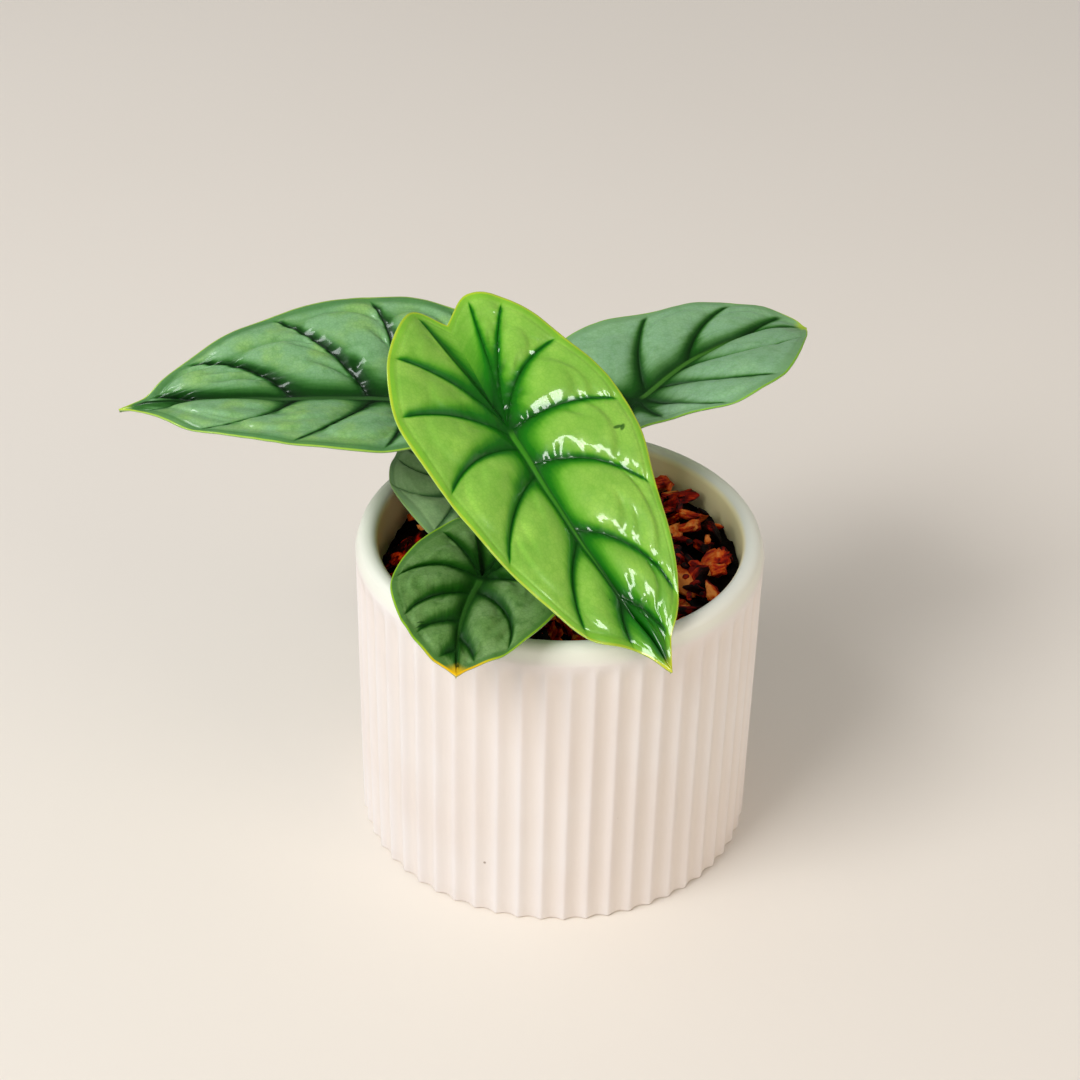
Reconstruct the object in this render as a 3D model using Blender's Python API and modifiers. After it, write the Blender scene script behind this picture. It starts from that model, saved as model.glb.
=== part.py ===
# A silver dragon alocasia in a white fluted pot.
# Units are metres, +Z is up. The origin is the centre of the pot's flat base.
# Blade outlines and vein lines are written in thousandths of a metre, times MM.

from math import cos, pi, radians, sin
import random

import bmesh
import bpy
from mathutils import Euler, Matrix, Vector
import numpy as np

MM = 0.001
CLEARANCE = 0.3 * MM

# Pot: a slip-cast cylinder with upright flutes and a plain rounded lip
POT_HEIGHT = 0.099
POT_RADIUS = 0.060
POT_LIP_RADIUS = 0.0592
POT_MOUTH_RADIUS = 0.0534
POT_FLOOR_RADIUS = 0.0520
POT_FLOOR = 0.006
FLUTES = 56
FLUTE_DEPTH = 0.0011
FLUTE_ROUNDNESS = 2.4
FLUTE_TOP = 0.0905
FLUTE_FADE = 0.0035
BASE_CHAMFER = 0.0008
FLOOR_CHAMFER = 0.004
STEPS_PER_FLUTE = 4
MOUTH_STEPS = 64

# Bark mix: a filling with a loose top layer of chips
BARK_LEVEL = 0.0875
BARK_RISE = 0.0030
BARK_CHIPS = 78
CHIP_LENGTH = (0.008, 0.016)
CHIP_WIDTH = (0.0055, 0.0095)
CHIP_THICKNESS = (0.0035, 0.0055)
CHIP_TILT = 24
CHIP_LIFT = (-0.001, 0.0008)
CHIP_BED = 0.0008
CHIP_CROWN_GAP = 0.0015
BARK_STEPS = 48

# Crown: the short rhizome that the leaves rise from, and its roots
CROWN_RADIUS = 0.0085
CROWN_TOP = 0.0925
CROWN_BOTTOM = 0.054
CROWN_STEPS = 14
ROOTS = 6
ROOT_RADIUS = 0.0013
ROOT_REACH = 0.036
ROOT_END = 0.022
ROOT_HANDLES = (0.016, 0.022)

# Petioles stand in a ring on the crown
PETIOLE_RING = 0.0053
PETIOLE_BASE_RADIUS = 0.0025
PETIOLE_TOP_RADIUS = 0.0015

# Blades
BLADE_THICKNESS = 0.0008
FOLD_ROUND = 0.003
QUILT_LIFT = 0.16
QUILT_MOST = 0.0028
QUILT_FULLNESS = 0.6
QUILT_RISE = 0.07
MARGIN_RIPPLE = 0.0006
LINES_A_PANEL = 3
ACROSS = (0.03, 0.12, 0.3, 0.52, 0.74, 0.91, 1)

# Each blade is drawn flat, in thousandths of a metre from the point where the petiole joins it:
# along the midrib to the tip, and across. A vein row is (root on the midrib, end along, end across,
# how far it bows back to the petiole as a share of its length). The first rows fan out from the joint.
FRONT = {
    "place": (-0.015, -0.022, 0.146),
    "turn": (-135, -37, 0),
    "arch": 1.5,
    "fold": 0.22,
    "droop": 1.7,
    "notch": (-34, -2.5),
    "tip": (80, -4),
    "midrib_bow": 1.0,
    "right": [
        (0, -41, 5.5, 0.0), (0, -31, 23, 0.19), (3, -14, 33.5, 0.2), (7, 12, 33.5, 0.27),
        (15, 36, 28.5, 0.2), (36, 61, 17, 0.25), (56, 70, 4, 0.2),
    ],
    "left": [
        (0, -39.5, 13, 0.0), (0, -34, 21.8, 0.12), (0, -16.5, 30.5, 0.28), (1, 8, 36, 0.19),
        (12, 34, 28.8, 0.26), (33, 63, 17, 0.3), (55, 72, 8.5, 0.2),
    ],
}
LEFT = {
    "place": (-0.0455, 0.022, 0.129),
    "turn": (90, 1, -5),
    "arch": 2.0,
    "fold": 0.28,
    "droop": 2.1,
    "notch": (-33, 0),
    "tip": (86, 0),
    "midrib_bow": 0.0,
    "right": [
        (0, -39, 10, 0.0), (0, -30, 25, 0.17), (0, -10, 40, 0.3), (4, 15, 43, 0.15),
        (11.5, 44.5, 33.6, 0.16), (34, 69.5, 15, 0.27), (62, 79, 3.5, 0.1),
    ],
    "left": [
        (0, -39, 10, 0.0), (0, -30, 22, 0.15), (0, -11, 30, 0.3), (3, 5.5, 35.2, 0.2),
        (9.5, 32, 30.8, 0.13), (33, 61, 19.2, 0.36), (62, 79, 3, 0.1),
    ],
}
BACK = {
    "place": (0.023, 0.038, 0.121),
    "turn": (-50, 10, -4),
    "arch": 4.5,
    "fold": 0.3,
    "droop": 2.1,
    "notch": (-22, 0),
    "tip": (73.5, -2.5),
    "midrib_bow": -6.0,
    "right": [
        (0, -25, 5, 0.0), (0, -16, 13, 0.16), (0, -5, 20, 0.1), (2, 10.5, 32.5, 0.2),
        (9, 31, 31, 0.1), (21, 63, 7.5, 0.33),
    ],
    "left": [
        (0, -27, 9, 0.0), (0, -20, 20, 0.19), (0, 0, 36, 0.3), (4, 31.7, 31.5, 0.13),
        (25, 60, 22.8, 0.16), (50, 72, 10.5, 0.1),
    ],
}
SMALL = {
    "place": (-0.022, -0.038, 0.107),
    "turn": (172, 0, -4),
    "arch": 2.5,
    "fold": 0.12,
    "droop": 2.1,
    "notch": (-24, 0),
    "tip": (42, -1),
    "midrib_bow": 2.0,
    "right": [
        (0, -30, 7, 0.0), (0, -20, 16, 0.11), (0, 9, 23.5, 0.5), (7, 25, 17.5, 0.3),
        (20, 31, 13, 0.3), (32, 38, 6, 0.1),
    ],
    "left": [
        (0, -29, 8, 0.0), (0, -19, 18, 0.13), (0, 5, 24.5, 0.2), (6, 32, 12.3, 0.36),
        (27, 38, 5, 0.2),
    ],
}
# The lowest blade has the small one's outline, narrower and with its sides exchanged
LOW_WIDTH = 0.8
LOW = {
    "place": (-0.0305, 0.013, 0.1025),
    "turn": (15, 0, 0),
    "arch": 2.5,
    "fold": 0.1,
    "droop": 2.1,
    "notch": (-20, 0),
    "tip": (44, 1),
    "midrib_bow": -1.0,
    "right": [(root, along, across * LOW_WIDTH, bow) for root, along, across, bow in SMALL["left"]],
    "left": [(root, along, across * LOW_WIDTH, bow) for root, along, across, bow in SMALL["right"]],
}
LEAVES = {"front": FRONT, "left": LEFT, "back": BACK, "small": SMALL, "low": LOW}

# How each petiole rises: the height of its first handle, and the length of its last one
PETIOLE_HANDLES = {
    "front": (0.030, 0.016),
    "left": (0.030, 0.020),
    "back": (0.018, 0.012),
    "small": (0.008, 0.012),
    "low": (0.006, 0.010),
}


# Scene and materials

def clear_scene():
    for obj in list(bpy.data.objects):
        bpy.data.objects.remove(obj, do_unlink=True)


def new_collection(name, hidden=False):
    collection = bpy.data.collections.new(name)
    collection.hide_render = hidden
    bpy.context.scene.collection.children.link(collection)
    return collection


def remove_collection(collection):
    for obj in list(collection.objects):
        bpy.data.objects.remove(obj)
    bpy.data.collections.remove(collection)


def principled(name, colour, roughness, metallic=0.0):
    material = bpy.data.materials.new(name)
    material.use_nodes = True
    shader = material.node_tree.nodes["Principled BSDF"]
    shader.inputs["Base Color"].default_value = (*colour, 1)
    shader.inputs["Roughness"].default_value = roughness
    shader.inputs["Metallic"].default_value = metallic
    return material


def add_object(name, data, collection, material=None):
    obj = bpy.data.objects.new(name, data)
    collection.objects.link(obj)
    if material:
        data.materials.append(material)
    if collection is cutters:
        obj.hide_render = True
        obj.display_type = "WIRE"
    return obj


def evaluated_mesh(obj, name):
    """A mesh of the object as its modifiers or its bevel make it, with loose caps welded."""
    graph = bpy.context.evaluated_depsgraph_get()
    mesh = bpy.data.meshes.new_from_object(obj.evaluated_get(graph))
    mesh.name = name
    bm = bmesh.new()
    bm.from_mesh(mesh)
    bmesh.ops.remove_doubles(bm, verts=bm.verts, dist=1e-6)
    bmesh.ops.recalc_face_normals(bm, faces=bm.faces)
    bm.to_mesh(mesh)
    bm.free()
    return mesh


def keep_largest(mesh):
    """Drops loose scraps: only the connected piece with the most faces stays."""
    bm = bmesh.new()
    bm.from_mesh(mesh)
    left = set(bm.verts)
    pieces = []
    while left:
        piece = set()
        edge_of_piece = {left.pop()}
        while edge_of_piece:
            vertex = edge_of_piece.pop()
            piece.add(vertex)
            near = {edge.other_vert(vertex) for edge in vertex.link_edges}
            edge_of_piece |= near & left
            left -= near
        pieces.append(piece)
    for scrap in sorted(pieces, key=len)[:-1]:
        bmesh.ops.delete(bm, geom=list(scrap), context="VERTS")
    bm.to_mesh(mesh)
    bm.free()


def turned(name, profile, steps, collection, material=None):
    """A body turned about Z from (radius, height) points that run down its outer side."""
    mesh = bpy.data.meshes.new(name)
    points = [(r, 0, z) for r, z in profile]
    mesh.from_pydata(points, [(i, i + 1) for i in range(len(points) - 1)], [])
    obj = add_object(name, mesh, collection, material)
    screw = obj.modifiers.new("turn", "SCREW")
    screw.steps = steps
    screw.render_steps = steps
    screw.use_merge_vertices = True
    screw.merge_threshold = 1e-5
    return obj


def boolean(obj, operation, operand, solver="EXACT"):
    modifier = obj.modifiers.new(operation.lower(), "BOOLEAN")
    modifier.operation = operation
    modifier.solver = solver
    if isinstance(operand, bpy.types.Collection):
        modifier.operand_type = "COLLECTION"
        modifier.collection = operand
    else:
        modifier.object = operand
    return modifier


def shade_round(mesh, angle=35):
    mesh.shade_smooth()
    mesh.set_sharp_from_angle(angle=radians(angle))


# Pot

def arc(centre, radius, start, end, count):
    """Points on a circular arc, angles in degrees from +X."""
    angles = [radians(start + (end - start) * i / (count - 1)) for i in range(count)]
    return [(centre[0] + radius * cos(a), centre[1] + radius * sin(a)) for a in angles]


def flute_depth(angle, height):
    """A round channel between narrow ridges, which fades out under the lip."""
    place = (angle * FLUTES / (2 * pi)) % 1
    channel = 1 - abs(2 * place - 1) ** FLUTE_ROUNDNESS
    top = min(max((FLUTE_TOP + FLUTE_FADE - height) / FLUTE_FADE, 0), 1)
    return FLUTE_DEPTH * channel * top


def make_pot(collection):
    lip = (POT_LIP_RADIUS - POT_MOUTH_RADIUS) / 2
    lip_centre = (POT_LIP_RADIUS - lip, POT_HEIGHT - lip)
    outside = [(0, POT_HEIGHT)]
    outside += arc(lip_centre, lip, 80, 0, 3)
    outside += [
        (POT_RADIUS, FLUTE_TOP + FLUTE_FADE),
        (POT_RADIUS, FLUTE_TOP),
        (POT_RADIUS, BASE_CHAMFER),
        (POT_RADIUS - BASE_CHAMFER, 0),
        (0, 0),
    ]
    body = turned("pot_body", outside, FLUTES * STEPS_PER_FLUTE, cutters)
    mesh = evaluated_mesh(body, "pot")
    bpy.data.objects.remove(body)
    for vertex in mesh.vertices:
        x, y, z = vertex.co
        reach = (x * x + y * y) ** 0.5
        if reach > POT_LIP_RADIUS - lip:
            # A ridge stands half a pitch each side of the front
            angle = np.arctan2(x, -y) + pi / FLUTES
            share = 1 - flute_depth(angle, z) / reach
            vertex.co.x = x * share
            vertex.co.y = y * share
    pot = add_object("pot", mesh, collection, principled("white_glaze", (0.80, 0.72, 0.67), 0.45))
    inside = [(0, POT_HEIGHT + 0.01), (POT_LIP_RADIUS - lip, POT_HEIGHT + 0.01)]
    inside += arc(lip_centre, lip, 90, 180, 3)
    inside += [
        (POT_FLOOR_RADIUS, POT_FLOOR + FLOOR_CHAMFER),
        (POT_FLOOR_RADIUS - FLOOR_CHAMFER, POT_FLOOR),
        (0, POT_FLOOR),
    ]
    cutter = turned("pot_inside", inside, MOUTH_STEPS, cutters)
    boolean(pot, "DIFFERENCE", cutter)
    shade_round(mesh)
    return pot


# Crown and roots

def crown_profile(gap):
    """The rhizome: a blunt top, a waist in the bark and a rounded end, grown by the gap."""
    span = CROWN_TOP - CROWN_BOTTOM
    shape = [(0.82, 1.0), (1.0, 0.95), (0.94, 0.7), (1.04, 0.45), (0.86, 0.2), (0.45, 0.03)]
    points = [(CROWN_RADIUS * r + gap, CROWN_BOTTOM + span * z) for r, z in shape]
    return [(0, CROWN_TOP + gap)] + points + [(0, CROWN_BOTTOM - gap)]


def root_tube(index, gap):
    """A root that leaves the lower half of the rhizome and bends down to the floor of the pot."""
    angle = 2 * pi * (index + 0.3) / ROOTS
    out = Vector((cos(angle), sin(angle), 0))
    curve = bpy.data.curves.new("root", "CURVE")
    curve.dimensions = "3D"
    curve.bevel_depth = ROOT_RADIUS + gap
    curve.bevel_resolution = 1
    curve.resolution_u = 6
    curve.use_fill_caps = True
    spline = curve.splines.new("BEZIER")
    spline.bezier_points.add(1)
    start, end = spline.bezier_points
    depth = CROWN_BOTTOM + (0.30 + 0.08 * (index % 3)) * (CROWN_TOP - CROWN_BOTTOM)
    start.co = out * CROWN_RADIUS * 0.5 + Vector((0, 0, depth))
    start.handle_right = start.co + out * ROOT_HANDLES[0]
    start.handle_left = start.co - out * ROOT_HANDLES[0]
    reach = ROOT_REACH * (1 - 0.12 * (index % 2))
    end.co = out * reach + Vector((0, 0, ROOT_END - gap))
    end.handle_left = end.co + Vector((0, 0, ROOT_HANDLES[1]))
    end.handle_right = end.co - Vector((0, 0, ROOT_HANDLES[1]))
    tube = add_object("root", curve, cutters)
    mesh = evaluated_mesh(tube, "root")
    bpy.data.objects.remove(tube)
    return mesh


def make_crown(name, collection, gap):
    """The rhizome with its roots as one body, or with a gap the space that they take in the bark."""
    body = turned(name + "_body", crown_profile(gap), CROWN_STEPS, cutters)
    crown = add_object(name, evaluated_mesh(body, name), collection)
    bpy.data.objects.remove(body)
    roots = new_collection(name + "_roots", hidden=True)
    for index in range(ROOTS):
        roots.objects.link(bpy.data.objects.new("root", root_tube(index, gap)))
    boolean(crown, "UNION", roots)
    crown.data = evaluated_mesh(crown, name)
    crown.modifiers.clear()
    crown.data.materials.clear()
    remove_collection(roots)
    shade_round(crown.data)
    return crown


# Bark mix

def bark_level(x, y):
    """The top of the filling: it rises to the right and to the back of the pot."""
    return BARK_LEVEL + BARK_RISE * (0.7 * x + 0.3 * y) / POT_MOUTH_RADIUS


def bark_reach(height):
    """The radius that is free inside the pot's tapered wall at a height."""
    share = min(max((height - POT_FLOOR) / (POT_HEIGHT - POT_FLOOR), 0), 1)
    return POT_FLOOR_RADIUS + share * (POT_MOUTH_RADIUS - POT_FLOOR_RADIUS) - CLEARANCE


def chip_mesh(draw, x, y):
    """A broken flake of bark: a box with uneven corners, laid tilted on the filling."""
    size = Vector(
        (draw.uniform(*CHIP_LENGTH), draw.uniform(*CHIP_WIDTH), draw.uniform(*CHIP_THICKNESS))
    )
    turn = Euler(
        (
            radians(draw.uniform(-CHIP_TILT, CHIP_TILT)),
            radians(draw.uniform(-CHIP_TILT, CHIP_TILT)),
            draw.uniform(0, 2 * pi),
        )
    ).to_matrix()
    centre = Vector((x, y, bark_level(x, y) + draw.uniform(*CHIP_LIFT)))
    bm = bmesh.new()
    bmesh.ops.create_cube(bm, size=1)
    for vertex in bm.verts:
        uneven = Vector([draw.uniform(0.62, 1.0) for _ in range(3)])
        place = centre + turn @ (vertex.co * size * uneven)
        reach = Vector((place.x, place.y, 0)).length
        kept = min(max(reach, CROWN_RADIUS + CHIP_CROWN_GAP), bark_reach(place.z) - CLEARANCE)
        place.x *= kept / reach
        place.y *= kept / reach
        vertex.co = place
    mesh = bpy.data.meshes.new("chip")
    bm.to_mesh(mesh)
    bm.free()
    return mesh


def make_bark(collection):
    profile = [
        (0, BARK_LEVEL),
        (bark_reach(BARK_LEVEL) - CLEARANCE, BARK_LEVEL),
        (bark_reach(POT_FLOOR + FLOOR_CHAMFER), POT_FLOOR + FLOOR_CHAMFER + CLEARANCE),
        (bark_reach(POT_FLOOR) - FLOOR_CHAMFER, POT_FLOOR + CLEARANCE),
        (0, POT_FLOOR + CLEARANCE),
    ]
    filling = turned("filling", profile, BARK_STEPS, cutters)
    mesh = evaluated_mesh(filling, "bark_mix")
    bpy.data.objects.remove(filling)
    for vertex in mesh.vertices:
        if vertex.co.z > BARK_LEVEL / 2:
            vertex.co.z = bark_level(vertex.co.x, vertex.co.y) - CHIP_BED
    bark = add_object("bark_mix", mesh, collection)
    draw = random.Random(7)
    chips = new_collection("chips", hidden=True)
    # The sunflower rule spreads the chips evenly, from beside the crown to the wall
    golden = pi * (3 - 5**0.5)
    inner = (CROWN_RADIUS + CHIP_WIDTH[0]) ** 2
    outer = (POT_MOUTH_RADIUS - CHIP_WIDTH[0]) ** 2
    for index in range(BARK_CHIPS):
        reach = (inner + (outer - inner) * (index + 0.5) / BARK_CHIPS) ** 0.5
        angle = golden * index + draw.uniform(-0.1, 0.1)
        x, y = reach * cos(angle), reach * sin(angle)
        chips.objects.link(bpy.data.objects.new("chip", chip_mesh(draw, x, y)))
    boolean(bark, "UNION", chips, "MANIFOLD")
    bark.data = evaluated_mesh(bark, "bark_mix")
    keep_largest(bark.data)
    bark.modifiers.clear()
    remove_collection(chips)
    boolean(bark, "DIFFERENCE", make_crown("crown_hole", cutters, CLEARANCE), "MANIFOLD")
    bark.data.materials.clear()
    bark.data.materials.append(principled("bark", (0.16, 0.06, 0.03), 0.8))
    return bark


# Blades

def rounded_curve(points, s):
    """A smooth curve through points at whole values of s, with tangents that heed their spacing."""
    points = np.asarray(points, float)
    gaps = np.maximum(np.linalg.norm(np.diff(points, axis=0), axis=1) ** 0.5, 1e-9)
    slopes = np.diff(points, axis=0) / gaps[:, None]
    inner = (slopes[:-1] * gaps[1:, None] + slopes[1:] * gaps[:-1, None])
    inner /= (gaps[1:] + gaps[:-1])[:, None]
    tangents = np.vstack([slopes[:1], inner, slopes[-1:]])
    k = np.clip(np.floor(s).astype(int), 0, len(points) - 2)
    f = (s - k)[..., None]
    gap = gaps[k][..., None]
    return (
        points[k] * (1 + 2 * f) * (1 - f) ** 2
        + tangents[k] * gap * f * (1 - f) ** 2
        + points[k + 1] * f**2 * (3 - 2 * f)
        + tangents[k + 1] * gap * f**2 * (f - 1)
    )


def midrib_across(leaf, along):
    """How far the midrib strays from the straight axis: it bends to the tip and to the notch."""
    tip_along, tip_across = leaf["tip"]
    notch_along, notch_across = leaf["notch"]
    ahead = np.clip(along / tip_along, 0, 1)
    behind = np.clip(along / notch_along, 0, 1)
    bow = leaf["midrib_bow"] * np.sin(pi * ahead)
    return tip_across * ahead**2 + bow + notch_across * behind**2


def side_rows(leaf, side):
    """One half's vein rows as arrays, with the notch line first and the tip last."""
    sign = 1 if side == "right" else -1
    rows = [(0, *leaf["notch"], 0)]
    rows += [(root, along, sign * across, bow) for root, along, across, bow in leaf[side]]
    rows += [(leaf["tip"][0], *leaf["tip"], 0)]
    return np.array(rows, float)


def flat_point(leaf, side, q, t):
    """The flat place of vein line q, a share t of the way from the midrib to the margin."""
    rows = side_rows(leaf, side)
    sign = 1 if side == "right" else -1
    index = np.arange(len(rows))
    root = np.interp(q, index, rows[:, 0])
    bow = np.interp(q, index, rows[:, 3])
    start = np.stack([root, midrib_across(leaf, root)], -1)
    end = rounded_curve(rows[:, 1:3], q)
    chord = end - start
    back = np.stack([-np.abs(chord[..., 1]), sign * chord[..., 0]], -1)
    handle = (start + end) / 2 + back * bow[..., None]
    t = t[..., None]
    return start * (1 - t) ** 2 + handle * 2 * t * (1 - t) + end * t**2


def quilting(leaf, side, q, t):
    """Height of the swollen panels between the sunken veins, and of the waved margin."""
    last = len(side_rows(leaf, side)) - 1
    low = np.clip(np.floor(q), 0, last - 1)
    across = flat_point(leaf, side, low + 1, t) - flat_point(leaf, side, low, t)
    width = np.linalg.norm(across, axis=-1)
    f = q - low
    swell = np.sin(pi * np.clip(f, 0, 1)) ** QUILT_FULLNESS
    channel = low == 0
    envelope = (1 - np.exp(-(t - ACROSS[0]) / QUILT_RISE)) * (1 - t**4)
    height = np.minimum(QUILT_LIFT * width, QUILT_MOST / MM) * swell * envelope
    ripple = MARGIN_RIPPLE / MM * np.sin(pi * f) ** 2 * t**3
    return np.where(channel, 0, height + ripple)


def blade_surface(leaf, side, q, t):
    """The blade's upper face: the flat leaf folded along the midrib, drooped and arched."""
    flat = flat_point(leaf, side, q, t)
    along = flat[..., 0] * MM
    across = flat[..., 1] * MM
    lateral = across - midrib_across(leaf, flat[..., 0]) * MM
    folded = leaf["fold"] * ((lateral**2 + FOLD_ROUND**2) ** 0.5 - FOLD_ROUND)
    raised = folded - leaf["droop"] * lateral**2
    raised = raised + quilting(leaf, side, q, t) * MM
    bend = leaf["arch"] * along
    y = np.sin(bend) / leaf["arch"] + raised * np.sin(bend)
    z = (np.cos(bend) - 1) / leaf["arch"] + raised * np.cos(bend)
    return np.stack([across, y, z], -1)


def half_grid(leaf, side):
    """Points of one half of the blade, a row for each line from the midrib strip to the margin."""
    panels = len(side_rows(leaf, side)) - 1
    q = np.arange(panels * LINES_A_PANEL + 1) / LINES_A_PANEL
    grid_q, grid_t = np.meshgrid(q, np.array(ACROSS, float), indexing="ij")
    return blade_surface(leaf, side, grid_q, grid_t)


def make_blade(name, leaf, collection, material):
    """Two halves of triangles, joined by a strip that follows the midrib, and thickened."""
    bm = bmesh.new()
    rims = []
    for side in ("right", "left"):
        grid = [[bm.verts.new(point) for point in line] for line in half_grid(leaf, side)]
        rims.append([line[0] for line in grid])
        for line, following in zip(grid[:-1], grid[1:]):
            for a, b, c, d in zip(line[:-1], following[:-1], following[1:], line[1:]):
                bm.faces.new((a, b, c))
                bm.faces.new((a, c, d))
    strip = bm.faces.new(rims[0] + rims[1][-2:0:-1])
    bmesh.ops.triangulate(bm, faces=[strip], ngon_method="BEAUTY")
    bmesh.ops.remove_doubles(bm, verts=bm.verts, dist=2e-5)
    bmesh.ops.recalc_face_normals(bm, faces=bm.faces)
    if sum(face.normal.z for face in bm.faces) < 0:
        bmesh.ops.reverse_faces(bm, faces=bm.faces)
    mesh = bpy.data.meshes.new(name)
    bm.to_mesh(mesh)
    bm.free()
    shade_round(mesh, 80)
    blade = add_object(name, mesh, collection, material)
    yaw, pitch, roll = (radians(angle) for angle in leaf["turn"])
    blade.rotation_mode = "YXZ"
    blade.rotation_euler = (pitch, roll, yaw)
    blade.location = leaf["place"]
    solid = blade.modifiers.new("thickness", "SOLIDIFY")
    solid.thickness = BLADE_THICKNESS
    solid.offset = -1
    return blade


def blade_frame(leaf):
    """The blade's own axes in the world: across, along the midrib, and up from its face."""
    yaw, pitch, roll = (radians(angle) for angle in leaf["turn"])
    turn = Matrix.Rotation(yaw, 3, "Z") @ Matrix.Rotation(pitch, 3, "X")
    return turn @ Matrix.Rotation(roll, 3, "Y")


# Petioles

def make_petiole(name, leaf, handles, angle, collection, material):
    """A stalk that rises from the crown and meets the blade from below at its joint."""
    face_up = blade_frame(leaf).col[2]
    arrive = (face_up + Vector((0, 0, 1))).normalized()
    joint = Vector(leaf["place"])
    slant = PETIOLE_TOP_RADIUS * face_up.cross(arrive).length
    top = joint - face_up * (BLADE_THICKNESS + CLEARANCE) - arrive * slant
    foot = Vector((PETIOLE_RING * cos(angle), PETIOLE_RING * sin(angle), CROWN_TOP + CLEARANCE))
    curve = bpy.data.curves.new(name, "CURVE")
    curve.dimensions = "3D"
    curve.bevel_depth = PETIOLE_BASE_RADIUS
    curve.bevel_resolution = 2
    curve.resolution_u = 10
    curve.use_fill_caps = True
    spline = curve.splines.new("BEZIER")
    spline.bezier_points.add(1)
    start, end = spline.bezier_points
    start.co = foot
    start.handle_right = foot + Vector((0, 0, handles[0]))
    start.handle_left = foot - Vector((0, 0, handles[0]))
    end.co = top
    end.handle_left = top - arrive * handles[1]
    end.handle_right = top + arrive * handles[1]
    end.radius = PETIOLE_TOP_RADIUS / PETIOLE_BASE_RADIUS
    return add_object(name, curve, collection, material)


# Assembly

clear_scene()
plant = new_collection("potted_silver_dragon_alocasia")
cutters = new_collection("cutters", hidden=True)

make_pot(plant)
make_bark(plant)
crown = make_crown("crown", plant, 0)
crown.data.materials.append(principled("root_brown", (0.36, 0.26, 0.16), 0.7))

new_green = principled("new_leaf_green", (0.26, 0.50, 0.07), 0.3)
silver_green = principled("silver_green", (0.15, 0.29, 0.17), 0.4)
stalk_green = principled("stalk_green", (0.30, 0.42, 0.16), 0.45)
ring = sorted(LEAVES, key=lambda key: np.arctan2(LEAVES[key]["place"][1], LEAVES[key]["place"][0]))
for index, key in enumerate(ring):
    leaf = LEAVES[key]
    material = (new_green if key == "front" else silver_green).copy()
    make_blade("blade_" + key, leaf, plant, material)
    foot_angle = -pi * 0.8 + 2 * pi * index / len(ring)
    stalk = stalk_green.copy()
    make_petiole("petiole_" + key, leaf, PETIOLE_HANDLES[key], foot_angle, plant, stalk)
for spare in (new_green, silver_green, stalk_green):
    bpy.data.materials.remove(spare)
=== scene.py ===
# %% [markdown]
# # A potted silver dragon alocasia
# This young houseplant has thick, quilted leaves on hidden stalks. It grows in bark in a white fluted pot.
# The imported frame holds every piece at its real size. Here each one is replaced by a finer surface of the
# same form, worked out with numpy, and painted with shader nodes. Lengths are in metres and +Z is up.

# %% Load the frame
import itertools
from math import pi, radians
import random

import bpy
from mathutils import Matrix
import numpy as np


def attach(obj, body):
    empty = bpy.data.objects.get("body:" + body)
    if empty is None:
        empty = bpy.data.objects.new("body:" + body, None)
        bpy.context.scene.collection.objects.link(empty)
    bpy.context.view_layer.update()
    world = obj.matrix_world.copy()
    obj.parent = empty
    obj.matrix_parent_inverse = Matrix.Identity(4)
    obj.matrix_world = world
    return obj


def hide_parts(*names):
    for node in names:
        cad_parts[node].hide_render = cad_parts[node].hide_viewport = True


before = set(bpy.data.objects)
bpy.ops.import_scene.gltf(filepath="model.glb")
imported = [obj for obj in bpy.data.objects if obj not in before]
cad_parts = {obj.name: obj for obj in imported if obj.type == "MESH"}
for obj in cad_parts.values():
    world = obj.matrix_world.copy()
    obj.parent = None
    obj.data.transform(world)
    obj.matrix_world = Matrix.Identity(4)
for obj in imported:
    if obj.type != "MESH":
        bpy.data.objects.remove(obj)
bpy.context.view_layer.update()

MM = 0.001

# %% [markdown]
# ## Grids that become pieces
# Every form below is a grid of points: rows along it and columns across it or round it. A grid cell gives
# two triangles. Where a grid closes on itself, or two grids meet, points share a place and are made one,
# so that shading runs on over the seam. Working on whole arrays keeps this quick and short.

# %% Cells, welds and normals
def grid_faces(rows, columns, round_rows=False, round_columns=False):
    """Two triangles for each cell of a grid whose points are numbered row by row."""
    index = np.arange(rows * columns).reshape(rows, columns)
    if round_rows:
        index = np.vstack([index, index[:1]])
    if round_columns:
        index = np.hstack([index, index[:, :1]])
    a, b = index[:-1, :-1], index[1:, :-1]
    c, d = index[1:, 1:], index[:-1, 1:]
    cells = np.concatenate([np.stack([a, b, c], -1), np.stack([a, c, d], -1)])
    return cells.reshape(-1, 3)


def weld(points, faces, near=2e-6):
    """Finds the points that share a place. Gives one of each, and the faces that don't collapse."""
    steps = np.round(points / near).astype(np.int64)
    _, first, index = np.unique(steps, axis=0, return_index=True, return_inverse=True)
    faces = index.reshape(-1)[faces]
    a, b, c = faces.T
    return first, faces[(a != b) & (b != c) & (a != c)]


def point_normals(points, faces):
    """At each point, the average of its triangles' normals, each as long as its triangle is large."""
    a, b, c = points[faces].transpose(1, 0, 2)
    across = np.cross(b - a, c - a)
    total = np.zeros_like(points)
    for corner in range(3):
        np.add.at(total, faces[:, corner], across)
    return total / np.maximum(np.linalg.norm(total, axis=1, keepdims=True), 1e-12)


def gather(parts):
    """Several (points, faces, masks) as one, with the faces renumbered."""
    starts = np.cumsum([0] + [len(points) for points, _, _ in parts[:-1]])
    points = np.concatenate([part[0] for part in parts])
    faces = np.concatenate([part[1] + start for part, start in zip(parts, starts)])
    masks = {key: np.concatenate([part[2][key] for part in parts]) for key in parts[0][2]}
    return points, faces, masks


# %% [markdown]
# A piece is a mesh whose faces point outwards. The volume that its triangles enclose tells which way they
# point: it is negative when the shape is inside out. Numbers that a finish needs at each point, such as
# the distance to a vein, go into the mesh as named attributes, which the shader nodes can read.

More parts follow.
